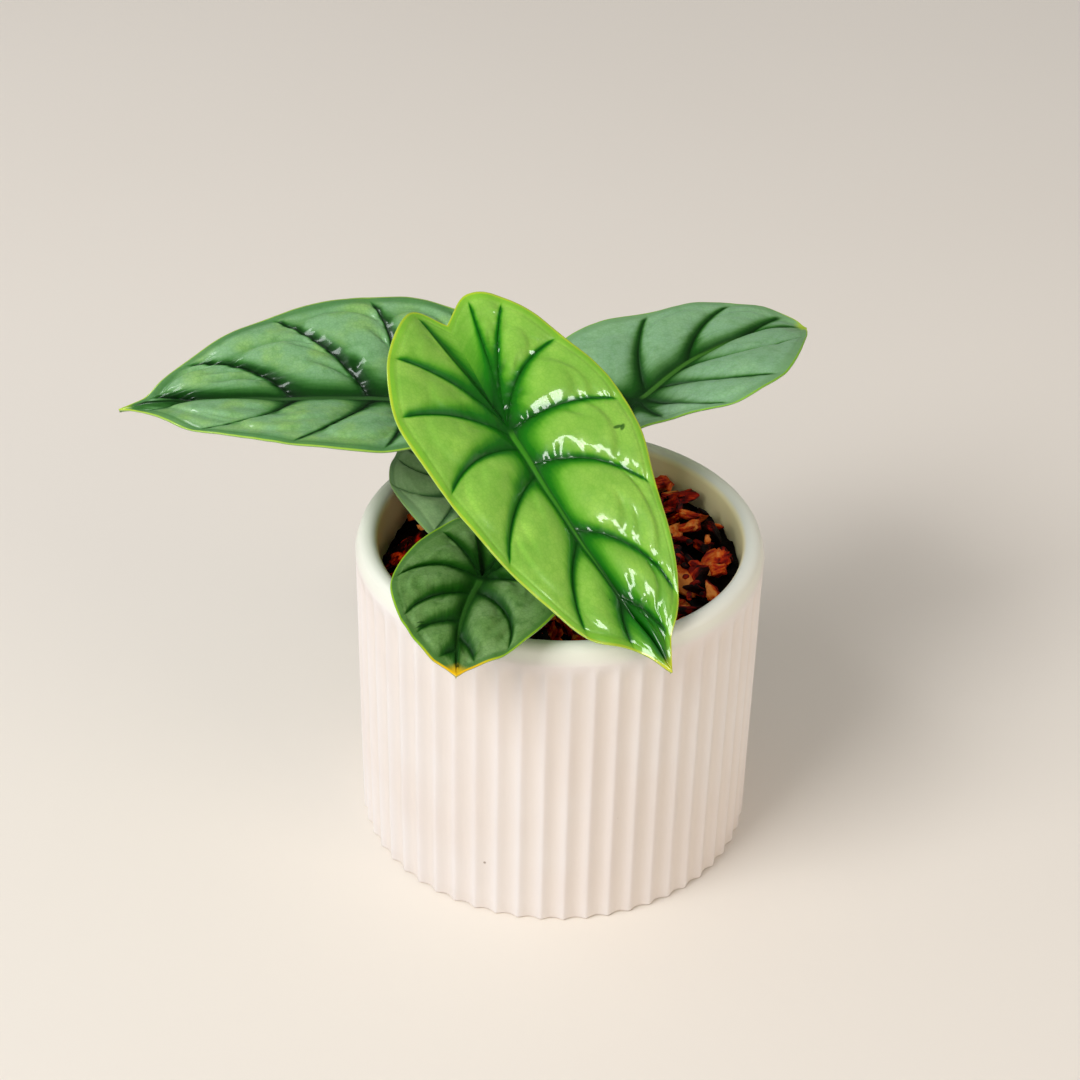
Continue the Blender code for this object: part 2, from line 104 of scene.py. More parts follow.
# %% Build a piece and hide the CAD parts that it replaces
def make_piece(name, form, material, slot, *nodes):
    """Turns (points, faces, masks) into an object that rides on the root and replaces the CAD nodes."""
    points, faces, masks = form
    a, b, c = points[faces].transpose(1, 0, 2)
    if np.einsum("ij,ij->", a, np.cross(b, c)) < 0:
        faces = faces[:, ::-1]
    mesh = bpy.data.meshes.new(name)
    mesh.from_pydata(points.tolist(), [], faces.tolist())
    mesh.shade_smooth()
    for key, values in masks.items():
        kind, field = ("FLOAT", "value") if values.ndim == 1 else ("FLOAT_VECTOR", "vector")
        attribute = mesh.attributes.new(key, kind, "POINT")
        attribute.data.foreach_set(field, values.astype(np.float32).ravel())
    mesh.materials.append(material)
    piece = bpy.data.objects.new(name, mesh)
    bpy.context.scene.collection.objects.link(piece)
    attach(piece, "root")
    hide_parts(*nodes)
    print(name, len(faces), "triangles")


# %% [markdown]
# Grown and broken things are never even. Smooth noise gives them their drift: a random value at each
# corner of a lattice, eased from one to the next. The random value is a sine with a huge factor, of which
# only the part after the decimal point is kept, so the same place always gets the same value.

# %% Smooth noise
LATTICE = np.array([127.1, 311.7, 74.7])


def drift(places, size, seed=0):
    """Noise from -1 to 1 that changes over about the given size, at places with 1 to 3 coordinates."""
    scaled = np.asarray(places, float) / size
    cell = np.floor(scaled)
    share = scaled - cell
    share = share * share * (3 - 2 * share)
    total = 0
    for corner in itertools.product((0, 1), repeat=cell.shape[-1]):
        spin = np.sin((cell + corner) @ LATTICE[: len(corner)] + seed * 17.17) * 43758.5453
        total = total + (spin % 1) * np.prod(np.where(corner, share, 1 - share), axis=-1)
    return 2 * total - 1


def ease(low, high, value):
    """Rises from 0 at low to 1 at high, level at both ends: 3x^2 - 2x^3."""
    share = np.clip((value - low) / (high - low), 0, 1)
    return share * share * (3 - 2 * share)


# %% [markdown]
# ## Shader maths in Python
# A finish is a sum of small effects, such as a darker vein here and a paler edge there. Wired by hand
# that is a maze of Math nodes. So one small class wraps a socket: adding or multiplying two of them adds
# the node and gives its output back. Any other node comes from one method.

# %% A socket that can be calculated with
class Field:
    """A number, colour or vector that varies over the surface."""

    def __init__(self, paint, socket):
        self.paint = paint
        self.socket = socket

    def math(self, operation, *values):
        """One Math node, with the values in the order of its sockets."""
        return self.paint.node("Math", {"operation": operation}, dict(enumerate(values)))

    def __add__(self, other):
        return self.math("ADD", self, other)

    def __sub__(self, other):
        return self.math("SUBTRACT", self, other)

    def __rsub__(self, other):
        return self.math("SUBTRACT", other, self)

    def __mul__(self, other):
        return self.math("MULTIPLY", self, other)

    def __truediv__(self, other):
        return self.math("DIVIDE", self, other)

    def __neg__(self):
        return self * -1

    __radd__ = __add__
    __rmul__ = __mul__

    def exp(self):
        """e to the power of this."""
        return self.math("EXPONENT", self)

    def ease(self, low, high):
        """Rises from 0 at low to 1 at high. With low above high it falls instead."""
        settings = {"interpolation_type": "SMOOTHSTEP"}
        if low < high:
            return self.paint.node("MapRange", settings, {"Value": self, "From Min": low, "From Max": high})
        return 1 - self.ease(high, low)


# %% A material as a sheet of nodes
class Paint:
    """One material."""

    def __init__(self, name):
        self.material = bpy.data.materials.new(name)
        self.material.use_nodes = True
        self.tree = self.material.node_tree
        self.shader = self.tree.nodes["Principled BSDF"]

    def node(self, kind, settings, sockets, output=0):
        """Adds a node: first its settings or a ramp's stops, then its sockets' values or links."""
        node = self.tree.nodes.new("ShaderNode" + kind)
        for key, value in settings.items():
            if key == "stops":
                for place, _ in value[2:]:
                    node.color_ramp.elements.new(place)
                for element, (place, colour) in zip(node.color_ramp.elements, value):
                    element.position = place
                    element.color = colour
            else:
                setattr(node, key, value)
        self.fill(node, sockets)
        return Field(self, node.outputs[output])

    def fill(self, node, sockets):
        """Links each socket that gets a Field, and sets the others to their number, colour or vector."""
        for key, value in sockets.items():
            if isinstance(value, Field):
                self.tree.links.new(value.socket, node.inputs[key])
            else:
                node.inputs[key].default_value = value

    def object_place(self):
        """Where a point lies in its own object, which here is its place in the world."""
        return self.node("TexCoord", {}, {}, "Object")

    def attribute(self, name, output="Fac"):
        """A mask of the mesh, by its name: a number, or a place with the output "Vector"."""
        return self.node("Attribute", {"attribute_name": name}, {}, output)

    def noise(self, places, size, detail=2.0):
        """Noise from about 0.3 to 0.7 that changes over the given size in metres."""
        return self.node("TexNoise", {}, {"Vector": places, "Scale": 1 / size, "Detail": detail}, "Fac")

    def blend(self, first, second, factor):
        """A colour that goes from the first to the second as the factor goes from 0 to 1."""
        return self.node("Mix", {"data_type": "RGBA"}, {0: factor, 6: first, 7: second}, 2)

    def bump(self, height, depth):
        """A normal bent as if the surface rose by depth, in metres, where the height is 1."""
        return self.node("Bump", {}, {"Height": height, "Distance": depth}, "Normal")

    def finish(self, **sockets):
        """Fills the shader's sockets, which are named here in small letters, and gives the material."""
        names = {socket.name.lower().replace(" ", "_"): socket.name for socket in self.shader.inputs}
        self.fill(self.shader, {names[key]: value for key, value in sockets.items()})
        return self.material


def display(red, green, blue):
    """A colour as a picture shows it, 0 to 255, as the light that a shader reckons with."""
    share = np.array([red, green, blue]) / 255
    light = np.where(share <= 0.04045, share / 12.92, ((share + 0.055) / 1.055) ** 2.4)
    return (*light.tolist(), 1.0)


# %% [markdown]
# ## The pot
# It is slip-cast stoneware with a satin white glaze: a straight cylinder, a plain rounded lip, and upright
# flutes, which are wide shallow channels between narrow ridges. A profile carried round the axis makes the
# body. The flutes are taken out of its radius by a formula, so they fade out under the lip and reach the
# foot at full depth, which scallops its edge. Glaze rounds every ridge, so the formula does too.

# %% The pot's sizes
POT_HEIGHT = 0.099
POT_RADIUS = 0.060
LIP_RADIUS = 0.0592
MOUTH_RADIUS = 0.0534
FLOOR_RADIUS = 0.0520
FLOOR = 0.006
FLOOR_CHAMFER = 0.004
FLUTES = 56
FLUTE_DEPTH = 0.0011
FLUTE_ROUNDNESS = 2.1
RIDGE_ROUNDING = 0.38
FLUTE_TOP = 0.087
FLUTE_FADE = 0.007
FOOT_ROUNDING = 0.0009
STEPS_PER_FLUTE = 14
# A cast wall is never quite true
CAST_DRIFT = 0.12 * MM
print("the pot is", round(2 * POT_RADIUS / MM), "mm wide and", round(POT_HEIGHT / MM), "mm high")


def arc(centre, radius, start, end, count):
    """Points on a circular arc, with its angles in degrees from the outward direction."""
    angles = np.radians(np.linspace(start, end, count))
    return np.stack([centre[0] + radius * np.cos(angles), centre[1] + radius * np.sin(angles)], -1)


def straight(corners, counts):
    """Evenly spaced points on the lines from corner to corner, up to, but not at, the last corner."""
    ends = zip(corners[:-1], corners[1:], counts)
    return np.concatenate([np.linspace(start, end, count, endpoint=False) for start, end, count in ends])


def carried_round(profile, columns):
    """The radius and height of each point of a profile that is carried round the axis, and the angles."""
    radius, height = np.repeat(profile.T[..., None], columns, axis=2)
    return radius, height, 2 * pi * np.arange(columns) / columns


def pot_profile():
    """(radius, height) from the middle of the floor, up inside, over the lip and down to the foot."""
    lip = (LIP_RADIUS - MOUTH_RADIUS) / 2
    top = POT_HEIGHT - lip
    inside = [
        (0, FLOOR), (FLOOR_RADIUS - FLOOR_CHAMFER, FLOOR), (FLOOR_RADIUS, FLOOR + FLOOR_CHAMFER),
        (MOUTH_RADIUS, top)]
    outside = [(POT_RADIUS, height) for height in (FLUTE_TOP + FLUTE_FADE, FLUTE_TOP, FOOT_ROUNDING)]
    return np.concatenate([
        straight(inside, (4, 4, 12)),
        arc((MOUTH_RADIUS + lip, top), lip, 180, 0, 15),
        straight(outside, (6, 18)),
        arc((POT_RADIUS - FOOT_ROUNDING, FOOT_ROUNDING), FOOT_ROUNDING, 0, -90, 5),
        straight([(POT_RADIUS - 2 * FOOT_ROUNDING, 0), (0, 0)], (5,)),
        [(0, 0)],
    ])


def flute_share(angle, height):
    """c = 1 - |2p - 1|^n over each flute, p from 0 to 1, so 0 is a ridge and 1 the bottom of a channel.
    The glaze rounds the ridge: c becomes (c^2 + r^2)^0.5 - r, scaled so that 1 stays 1."""
    place = (angle * FLUTES / (2 * pi)) % 1
    channel = 1 - np.abs(2 * place - 1) ** FLUTE_ROUNDNESS
    rounded = (channel**2 + RIDGE_ROUNDING**2) ** 0.5 - RIDGE_ROUNDING
    rounded /= (1 + RIDGE_ROUNDING**2) ** 0.5 - RIDGE_ROUNDING
    return rounded * ease(FLUTE_TOP + FLUTE_FADE, FLUTE_TOP, height)


def round_place(radius, height, angle):
    """Points at an angle counted from -Y towards +X."""
    return np.stack([radius * np.sin(angle), -radius * np.cos(angle), height], -1)


def pot_form():
    """The profile carried round, with flutes and unevenness taken from the radius of the outer wall."""
    profile = pot_profile()
    radius, height, angle = carried_round(profile, FLUTES * STEPS_PER_FLUTE)
    outer = np.arange(len(profile))[:, None] > np.argmax(profile[:, 1])
    at_wall = ease(LIP_RADIUS - 4 * MM, LIP_RADIUS - 2 * MM, radius) * outer
    channel = flute_share(angle + pi / FLUTES, height) * at_wall
    radius = radius - FLUTE_DEPTH * channel
    radius = radius + CAST_DRIFT * drift(round_place(radius, height, angle), 0.03, 3) * at_wall
    points = round_place(radius, height, angle).reshape(-1, 3)
    first, faces = weld(points, grid_faces(len(profile), len(angle), round_columns=True))
    return points[first], faces, {"channel": channel.ravel()[first]}


# %% [markdown]
# The glaze is white with a breath of pink. It is thicker in the channels, where it turns creamier, and
# thinner on the ridges, which stay cooler. The lip is a cooler, greener white. A few iron specks show, as
# they do in real glaze.
# Under the foot there is none: the bare clay is buff and dry.

# %% The glaze
def glaze_paint():
    """White, creamier in the channels, cooler on the lip, with painted warm bounce light inside, specks and
    a bare foot.
    """
    paint = Paint("white_glaze")
    place = paint.object_place()
    height = paint.node("SeparateXYZ", {}, {0: place}, "Z")
    channel = paint.attribute("channel")
    cloud = paint.noise(place, 0.04, 2.0)
    colour = paint.blend(display(229, 224, 223), display(226, 218, 215), cloud.ease(0.35, 0.65))
    colour = paint.blend(colour, display(222, 211, 201), channel * 0.5)
    # The lip is painted a cooler, greener white
    colour = paint.blend(colour, display(228, 230, 220), height.ease(0.0925, 0.096))
    # Inside, the glaze is painted a brighter, warmer cream: painted bounce light from the bark and the
    # leaves
    upright = paint.node("VectorMath", {"operation": "MULTIPLY"}, {0: place, 1: (1.0, 1.0, 0.0)})
    radius = paint.node("VectorMath", {"operation": "LENGTH"}, {0: upright}, "Value")
    colour = paint.blend(colour, display(252, 244, 192), radius.ease(MOUTH_RADIUS + 0.0012, MOUTH_RADIUS))
    cells = paint.node("TexVoronoi", {}, {"Vector": place, "Scale": 85.0}, "Distance")
    rare = paint.noise(place, 0.009, 0.0)
    speck = cells.ease(0.05, 0.02) * rare.ease(0.56, 0.64)
    colour = paint.blend(colour, display(112, 88, 70), speck * 0.7)
    bare = height.ease(0.0003, 0.0001)
    colour = paint.blend(colour, display(205, 186, 160), bare)
    fine = paint.noise(place, 0.0016, 3.0)
    rough = 0.5 + 0.2 * (paint.noise(place, 0.012, 2.0) - 0.5) + 0.4 * bare
    normal = paint.bump(fine, 0.00004)
    return paint.finish(base_color=colour, roughness=rough, normal=normal, specular_ior_level=0.4)


make_piece("pot_glazed", pot_form(), glaze_paint(), "pot_glaze", "pot")

# %% [markdown]
# ## The bark mix
# Coarse orchid bark fills the pot. Its pieces are broken flakes, brown to black when damp, with red-brown
# layers and tan torn ends. They lie every way with deep gaps between them. A dark bed closes the filling,
# the flakes lie on it by the sunflower rule, which spreads them evenly, and crumbs fill the gaps. A flake
# is a sphere cut by planes, as a chip is by breaks, and noise roughens it.

# %% The bed under the flakes
BARK_LEVEL = 0.0875
BARK_RISE = 0.0030
CLEARANCE = 0.3 * MM
CROWN_RADIUS = 0.0085
FLAKES = 150
CRUMBS = 190
SIDES_OF_A_FLAKE = 7
FLAKE_SHARPNESS = 16
FLAKE_ROUGHNESS = 0.11
BED_COLUMNS = 150
BED_DEPTH = 2.2 * MM
FLAKE_GRAIN_SHIFT = 0.013
GOLDEN_ANGLE = pi * (3 - 5**0.5)
HEAP = 2.4 * MM


def bark_level(x, y):
    """The top of the filling: it rises to the right and to the back of the pot."""
    return BARK_LEVEL + BARK_RISE * (0.7 * x + 0.3 * y) / MOUTH_RADIUS


def wall_reach(height):
    """The radius that is free inside the pot's tapered wall at a height."""
    share = np.clip((height - FLOOR) / (POT_HEIGHT - FLOOR), 0, 1)
    return FLOOR_RADIUS + share * (MOUTH_RADIUS - FLOOR_RADIUS) - CLEARANCE


def bed_form():
    """A ring round the crown: top, outer side, underside and the hole, closed in both directions."""
    inner = CROWN_RADIUS + CLEARANCE
    bottom = FLOOR + CLEARANCE
    corners = [
        (inner, BARK_LEVEL), (wall_reach(BARK_LEVEL), BARK_LEVEL),
        (wall_reach(bottom) - FLOOR_CHAMFER, bottom), (inner, bottom), (inner, BARK_LEVEL)]
    radius, height, angle = carried_round(straight(corners, (46, 6, 3, 4)), BED_COLUMNS)
    x, y = radius * np.cos(angle), radius * np.sin(angle)
    on_top = height > BARK_LEVEL - MM
    place = np.stack([x, y], -1)
    lumps = 1.6 * MM * drift(place, 0.005, 1) + 0.7 * MM * drift(place, 0.0017, 2)
    height = np.where(on_top, bark_level(x, y) - BED_DEPTH + lumps, height)
    points = np.stack([x, y, height], -1).reshape(-1, 3)
    faces = grid_faces(len(radius), BED_COLUMNS, round_rows=True, round_columns=True)
    return points, faces, {"tone": np.zeros(len(points)), "grain": points}


# %% Flakes and crumbs
def flake_forms(centres, sizes, turns, tones, seed, rows, columns):
    """All flakes at once. Each is cut by planes with normals n at distances h. In the direction d its
    surface lies at r = (sum of max(d.n/h, 0)^p)^(-1/p), which rounds the edges a little."""
    count = len(centres)
    around = 2 * pi * np.arange(columns) / columns
    down = pi * np.arange(rows) / (rows - 1)
    ball = np.stack([
        np.sin(down)[:, None] * np.cos(around),
        np.sin(down)[:, None] * np.sin(around),
        np.cos(down)[:, None] * np.ones(columns),
    ], -1)
    draw = np.random.default_rng(seed)
    # Two broad faces, a little askew, and seven broken sides
    broad = draw.normal((0, 0, 1), (0.22, 0.22, 0), (count, 2, 3))
    broad[:, 1] *= -1
    uneven = draw.uniform(0, 0.75, (count, SIDES_OF_A_FLAKE))
    turn = 2 * pi * (np.arange(SIDES_OF_A_FLAKE) + uneven) / SIDES_OF_A_FLAKE
    side = np.stack([np.cos(turn), np.sin(turn), draw.normal(0, 0.4, turn.shape)], -1)
    planes = np.concatenate([broad, side], axis=1)
    planes /= np.linalg.norm(planes, axis=-1, keepdims=True)
    away = draw.uniform(0.3, 0.56, planes.shape[:2])
    nearness = np.einsum("rci,nki->nrck", ball, planes) / away[:, None, None, :]
    facing = np.maximum(nearness, 0) ** FLAKE_SHARPNESS
    total = facing.sum(-1)
    local = ball[None] * (total ** (-1 / FLAKE_SHARPNESS))[..., None]
    shade = (facing * draw.uniform(-0.28, 0.28, planes.shape[:2])[:, None, None, :]).sum(-1) / total
    local = local * sizes[:, None, None, :]
    # Layers end in steps along the grain, and the faces are pitted
    where = local + np.arange(count)[:, None, None, None] * FLAKE_GRAIN_SHIFT
    step = drift(where * (0.25, 1.0, 1.0), 0.0013, seed + 2) + 0.6 * drift(where, 0.0022, seed + 3)
    local += ball[None] * (FLAKE_ROUGHNESS * sizes[:, 2, None, None] * step)[..., None]
    points = centres[:, None, None, :] + np.einsum("nij,nrcj->nrci", turns, local)
    reach = np.linalg.norm(points[..., :2], axis=-1)
    kept = np.clip(reach, CROWN_RADIUS + 1.5 * MM, wall_reach(points[..., 2]) - CLEARANCE)
    points[..., :2] *= (kept / reach)[..., None]
    cells = grid_faces(rows, columns, round_columns=True)
    faces = (cells[None] + np.arange(count)[:, None, None] * rows * columns).reshape(-1, 3)
    tone = (tones[:, None, None] + shade).clip(0.02, 1).ravel()
    points, grain = points.reshape(-1, 3), where.reshape(-1, 3)
    first, faces = weld(points, faces, 1e-7)
    return points[first], faces, {"tone": tone[first], "grain": grain[first]}


def turned_by(tilts):
    """Rotation matrices from (about x, about y, about z) angles in radians."""
    cx, cy, cz = np.cos(tilts).T
    sx, sy, sz = np.sin(tilts).T
    rows = [
        [cy * cz, sx * sy * cz - cx * sz, cx * sy * cz + sx * sz],
        [cy * sz, sx * sy * sz + cx * cz, cx * sy * sz - sx * cz],
        [-sy, sx * cy, cx * cy],
    ]
    return np.array(rows).transpose(2, 0, 1)


def strewn(count, sizes, tilt, lift, seed, rows, columns):
    """Flakes strewn by the sunflower rule: the n-th turns on by the golden angle, at a radius that grows
    with the square root of n, so that each has the same room."""
    draw = np.random.default_rng(seed)
    inner, outer = CROWN_RADIUS + 5 * MM, MOUTH_RADIUS - 4 * MM
    share = (np.arange(count) + 0.5) / count
    reach = np.sqrt(inner**2 + (outer**2 - inner**2) * share)
    angle = GOLDEN_ANGLE * np.arange(count) + draw.uniform(-0.1, 0.1, count)
    x, y = reach * np.cos(angle), reach * np.sin(angle)
    low, high = np.array(sizes).T
    size = draw.uniform(low, high, (count, 3))
    tilts = np.radians(draw.uniform(-tilt, tilt, (count, 3)))
    tilts[:, 2] = draw.uniform(0, 2 * pi, count)
    heap = HEAP * ease(0, 0.04, x) * draw.uniform(0, 1, count)
    z = bark_level(x, y) + heap + draw.uniform(*lift, count)
    tones = 0.1 + 0.9 * draw.uniform(0, 1, count)
    return flake_forms(np.stack([x, y, z], -1), size, turned_by(tilts), tones, seed, rows, columns)


FLAKE_SIZES = ((6.5 * MM, 13 * MM), (4.5 * MM, 8.5 * MM), (2.2 * MM, 4.6 * MM))
CRUMB_SIZES = ((2.5 * MM, 5 * MM), (1.8 * MM, 3.4 * MM), (1 * MM, 2.4 * MM))
bark_form = gather([
    bed_form(),
    strewn(FLAKES, FLAKE_SIZES, 52, (-1.2 * MM, 2.4 * MM), 7, 15, 24),
    strewn(CRUMBS, CRUMB_SIZES, 60, (0.8 * MM, 3.2 * MM), 8, 5, 8),
])

# %% [markdown]
# A flake's tone, drawn once for each, sets whether it is nearly black, red-brown or tan. Bark splits in
# layers, so its pattern is noise stretched along the grain, which is the flake's own long axis. The bed
# has tone 0 and is painted almost black: the bark is damp, and the black is also painted shade in the deep
# gaps between the flakes.

# %% Damp bark
def bark_paint():
    """One ramp from black over red-brown to tan, read at the flake's tone plus its fibres and patches."""
    paint = Paint("damp_bark")
    tone = paint.attribute("tone")
    grain = paint.attribute("grain", "Vector")
    layers = paint.node("Mapping", {}, {"Vector": grain, "Scale": (0.3, 1.0, 2.4)})
    fibre = paint.noise(layers, 0.0015, 4.0)
    patch = paint.noise(grain, 0.004, 3.0)
    stops = [
        (0.0, display(8, 2, 1)),
        (0.26, display(38, 5, 2)),
        (0.44, display(128, 10, 1)),
        (0.62, display(192, 44, 4)),
        (0.8, display(222, 96, 20)),
        (1.0, display(238, 148, 70)),
    ]
    worth = tone * 0.9 + (fibre - 0.5) * 0.9 + (patch - 0.5) * 1.1 + 0.08
    # Tone 0, the bed, comes out almost black: damp bark, and painted shade in the gaps
    colour = paint.node("ValToRGB", {"stops": stops}, {"Fac": worth * tone.ease(0.0, 0.08)})
    rough = 0.74 + 0.4 * (patch - 0.5)
    return paint.finish(
        base_color=colour, roughness=rough, normal=paint.bump(fibre, 0.0007), specular_ior_level=0.1)


make_piece("bark_flakes", bark_form, bark_paint(), "bark", "bark_mix")

# %% [markdown]
# ## Stalks, crown and roots
# All of these are tubes: a ring carried along a smooth path. The ring's two axes come from one direction
# that the whole path stays square to, so it never twists. The stalks rise from a ring on the crown, each
# with a sheath at its foot, and meet their blades from below. The roots run down through the bark.

# %% Tubes along a path
def bezier(start, leave, arrive, end, count):
    """Points on the cubic curve with these two ends and two handles."""
    t = np.linspace(0, 1, count)[:, None]
    points = start * (1 - t) ** 3 + 3 * leave * t * (1 - t) ** 2
    return points + 3 * arrive * t**2 * (1 - t) + end * t**3


def tube(path, radii, sides, square_to, ridges=0.0, seed=0):
    """Rings of the given radii along the path, closed by a point at each end, with a little unevenness."""
    tangent = np.gradient(path, axis=0)
    tangent /= np.linalg.norm(tangent, axis=1, keepdims=True)
    side = np.cross(square_to, tangent)
    side /= np.linalg.norm(side, axis=1, keepdims=True)
    other = np.cross(tangent, side)
    angle = 2 * pi * np.arange(sides) / sides
    ring = side[:, None] * np.cos(angle)[:, None] + other[:, None] * np.sin(angle)[:, None]
    places = np.broadcast_arrays(np.cos(angle), np.sin(angle), np.linspace(0, 6, len(path))[:, None])
    uneven = 1 + ridges * drift(np.stack(places, -1), 0.45, seed)
    rings = path[:, None] + ring * (radii[:, None] * uneven)[..., None]
    ends = np.repeat(path[[0, -1], None], sides, 1)
    capped = np.concatenate([ends[:1], rings, ends[1:]])
    points = capped.reshape(-1, 3)
    rise = np.repeat(np.concatenate([[0], np.linspace(0, 1, len(path)), [1]]), sides)
    faces = grid_faces(len(capped), sides, round_columns=True)
    first, faces = weld(points, faces)
    return points[first], faces, {"rise": rise[first]}


# %% The crown with its roots
CROWN_TOP = 0.0925
CROWN_BOTTOM = 0.054
ROOTS = 6
ROOT_RADIUS = 0.0013
ROOT_REACH = 0.036
ROOT_END = 0.022


def crown_form():
    """A blunt rhizome, ringed by old leaf scars, with its roots run in from its lower half."""
    heights = np.array([0.0, 0.03, 0.2, 0.45, 0.7, 0.95, 1.0])
    widths = np.array([0.2, 0.45, 0.86, 1.04, 0.94, 1.0, 0.82])
    up = np.linspace(0, 1, 60)
    scars = 1 - 0.05 * np.exp(-((np.sin(up * 5.5 * pi) / 0.25) ** 2))
    radii = CROWN_RADIUS * np.interp(up, heights, widths) * scars
    axis = np.outer(up, (0, 0, CROWN_TOP - CROWN_BOTTOM)) + (0, 0, CROWN_BOTTOM)
    parts = [tube(axis, radii, 40, np.array([0, 1.0, 0]), 0.05, 4)]
    for number in range(ROOTS):
        angle = 2 * pi * (number + 0.3) / ROOTS
        out = np.array([np.cos(angle), np.sin(angle), 0])
        depth = CROWN_BOTTOM + (0.30 + 0.08 * (number % 3)) * (CROWN_TOP - CROWN_BOTTOM)
        start = out * CROWN_RADIUS * 0.5 + (0, 0, depth)
        end = out * ROOT_REACH * (1 - 0.12 * (number % 2)) + (0, 0, ROOT_END)
        path = bezier(start, start + out * 0.016, end + (0, 0, 0.022), end, 40)
        radii = ROOT_RADIUS * (1 - 0.55 * ease(0.75, 1.0, np.linspace(0, 1, 40)))
        parts.append(tube(path, radii, 14, np.array([-out[1], out[0], 0]), 0.12, number))
    return gather(parts)


def corky_paint():
    """Brown cork in two tones, with fine bumps."""
    paint = Paint("corky_root")
    place = paint.object_place()
    cloud = paint.noise(place, 0.004, 4.0)
    colour = paint.blend(display(92, 62, 38), display(152, 124, 86), cloud.ease(0.35, 0.65))
    normal = paint.bump(paint.noise(place, 0.0012, 4.0), 0.0004)
    return paint.finish(base_color=colour, roughness=0.72 + 0.3 * (cloud - 0.5), normal=normal)


make_piece("crown_and_roots", crown_form(), corky_paint(), "root_brown", "crown")

# %% [markdown]
# ## The leaves, drawn flat
# A silver dragon's leaf is peltate: the stalk joins it from below, inside the outline. From that joint a
# midrib runs to the tip, veins leave it to both sides, and the lamina swells up between them like a quilt.
# So the veins are the best coordinates. Each half has numbered vein lines: q is 0 on the middle of the
# notch, whole on each vein and largest at the tip, and t runs along a line from the midrib to the margin.
# An outline then needs only one row a vein: where it leaves the midrib, where it ends (along and across,
# in thousandths of a metre from the joint), and how far it bows back, as a share of its length.
#
# Place is where the joint lies, and turn is the leaf's yaw, pitch and roll in degrees. Arch, fold and
# droop bend the sheet and come later. Then each leaf has its habits, and where there are two values the
# first is for the right half, the second for the left: how strong its wrinkles and side veins are, and
# over how many millimetres the green darkens before a vein and behind it, which is partly painted shade on
# the slopes that face away from the light. The last two are the depth of the trough at the notch, in mm,
# and a factor that coarsens the mesh of a leaf of which less is seen.

# %% The five leaves
SIDES = ("right", "left")
LEAVES = {
    "front": dict(
        place=(-0.015, -0.022, 0.146), turn=(-135, -37, 0), arch=1.5, fold=0.22, droop=1.7,
        notch=(-34, -2.5), tip=(80, -4), midrib_bow=1.0,
        right=[(0, -41, 5.5, 0.0), (0, -31, 23, 0.19), (3, -14, 33.5, 0.2), (7, 12, 33.5, 0.27),
               (15, 36, 28.5, 0.2), (36, 61, 17, 0.25), (56, 70, 4, 0.2)],
        left=[(0, -39.5, 13, 0.0), (0, -34, 21.8, 0.12), (0, -16.5, 30.5, 0.28), (1, 8, 36, 0.19),
              (12, 34, 28.8, 0.26), (33, 63, 17, 0.3), (55, 72, 8.5, 0.2)],
        wrinkles=(0.08, 0.5), side_veins=(0.6, 1.3), dark=((3.3, 1.1), (1.3, 2.1)), trough=2.2, coarse=1.0),
    "left": dict(
        place=(-0.0455, 0.022, 0.129), turn=(90, 1, -5), arch=2.0, fold=0.28, droop=2.1,
        notch=(-33, 0), tip=(86, 0), midrib_bow=0.0,
        right=[(0, -39, 10, 0.0), (0, -30, 25, 0.17), (0, -10, 40, 0.3), (4, 15, 43, 0.15),
               (11.5, 44.5, 33.6, 0.16), (34, 69.5, 15, 0.27), (62, 79, 3.5, 0.1)],
        left=[(0, -39, 10, 0.0), (0, -30, 22, 0.15), (0, -11, 30, 0.3), (3, 5.5, 35.2, 0.2),
              (9.5, 32, 30.8, 0.13), (33, 61, 19.2, 0.36), (62, 79, 3, 0.1)],
        wrinkles=(0.6, 0.3), side_veins=(2.4, 1.4), dark=((3.4, 1.0), (2.4, 1.3)), trough=1.2, coarse=1.05),
    "back": dict(
        place=(0.023, 0.038, 0.121), turn=(-50, 10, -4), arch=4.5, fold=0.3, droop=2.1,
        notch=(-22, 0), tip=(73.5, -2.5), midrib_bow=-6.0,
        right=[(0, -25, 5, 0.0), (0, -16, 13, 0.16), (0, -5, 20, 0.1), (2, 10.5, 32.5, 0.2),
               (9, 31, 31, 0.1), (21, 63, 7.5, 0.33)],
        left=[(0, -27, 9, 0.0), (0, -20, 20, 0.19), (0, 0, 36, 0.3), (4, 31.7, 31.5, 0.13),
              (25, 60, 22.8, 0.16), (50, 72, 10.5, 0.1)],
        wrinkles=(0.2, 0.2), side_veins=(0.8, 0.8), dark=((2.6, 1.8), (2.6, 1.8)), trough=1.0, coarse=1.25),
    "small": dict(
        place=(-0.022, -0.038, 0.107), turn=(172, 0, -4), arch=2.5, fold=0.12, droop=2.1,
        notch=(-24, 0), tip=(42, -1), midrib_bow=2.0,
        right=[(0, -30, 7, 0.0), (0, -20, 16, 0.11), (0, 9, 23.5, 0.5), (7, 25, 17.5, 0.3),
               (20, 31, 13, 0.3), (32, 38, 6, 0.1)],
        left=[(0, -29, 8, 0.0), (0, -19, 18, 0.13), (0, 5, 24.5, 0.2), (6, 32, 12.3, 0.36),
              (27, 38, 5, 0.2)],
        wrinkles=(0.3, 0.3), side_veins=(1.2, 1.2), dark=((2.2, 1.2), (2.2, 1.2)), trough=2.6, coarse=1.1),
}


def narrowed(rows, share):
    """The same rows with their distances from the midrib times a share."""
    return [(root, along, across * share, bow) for root, along, across, bow in rows]


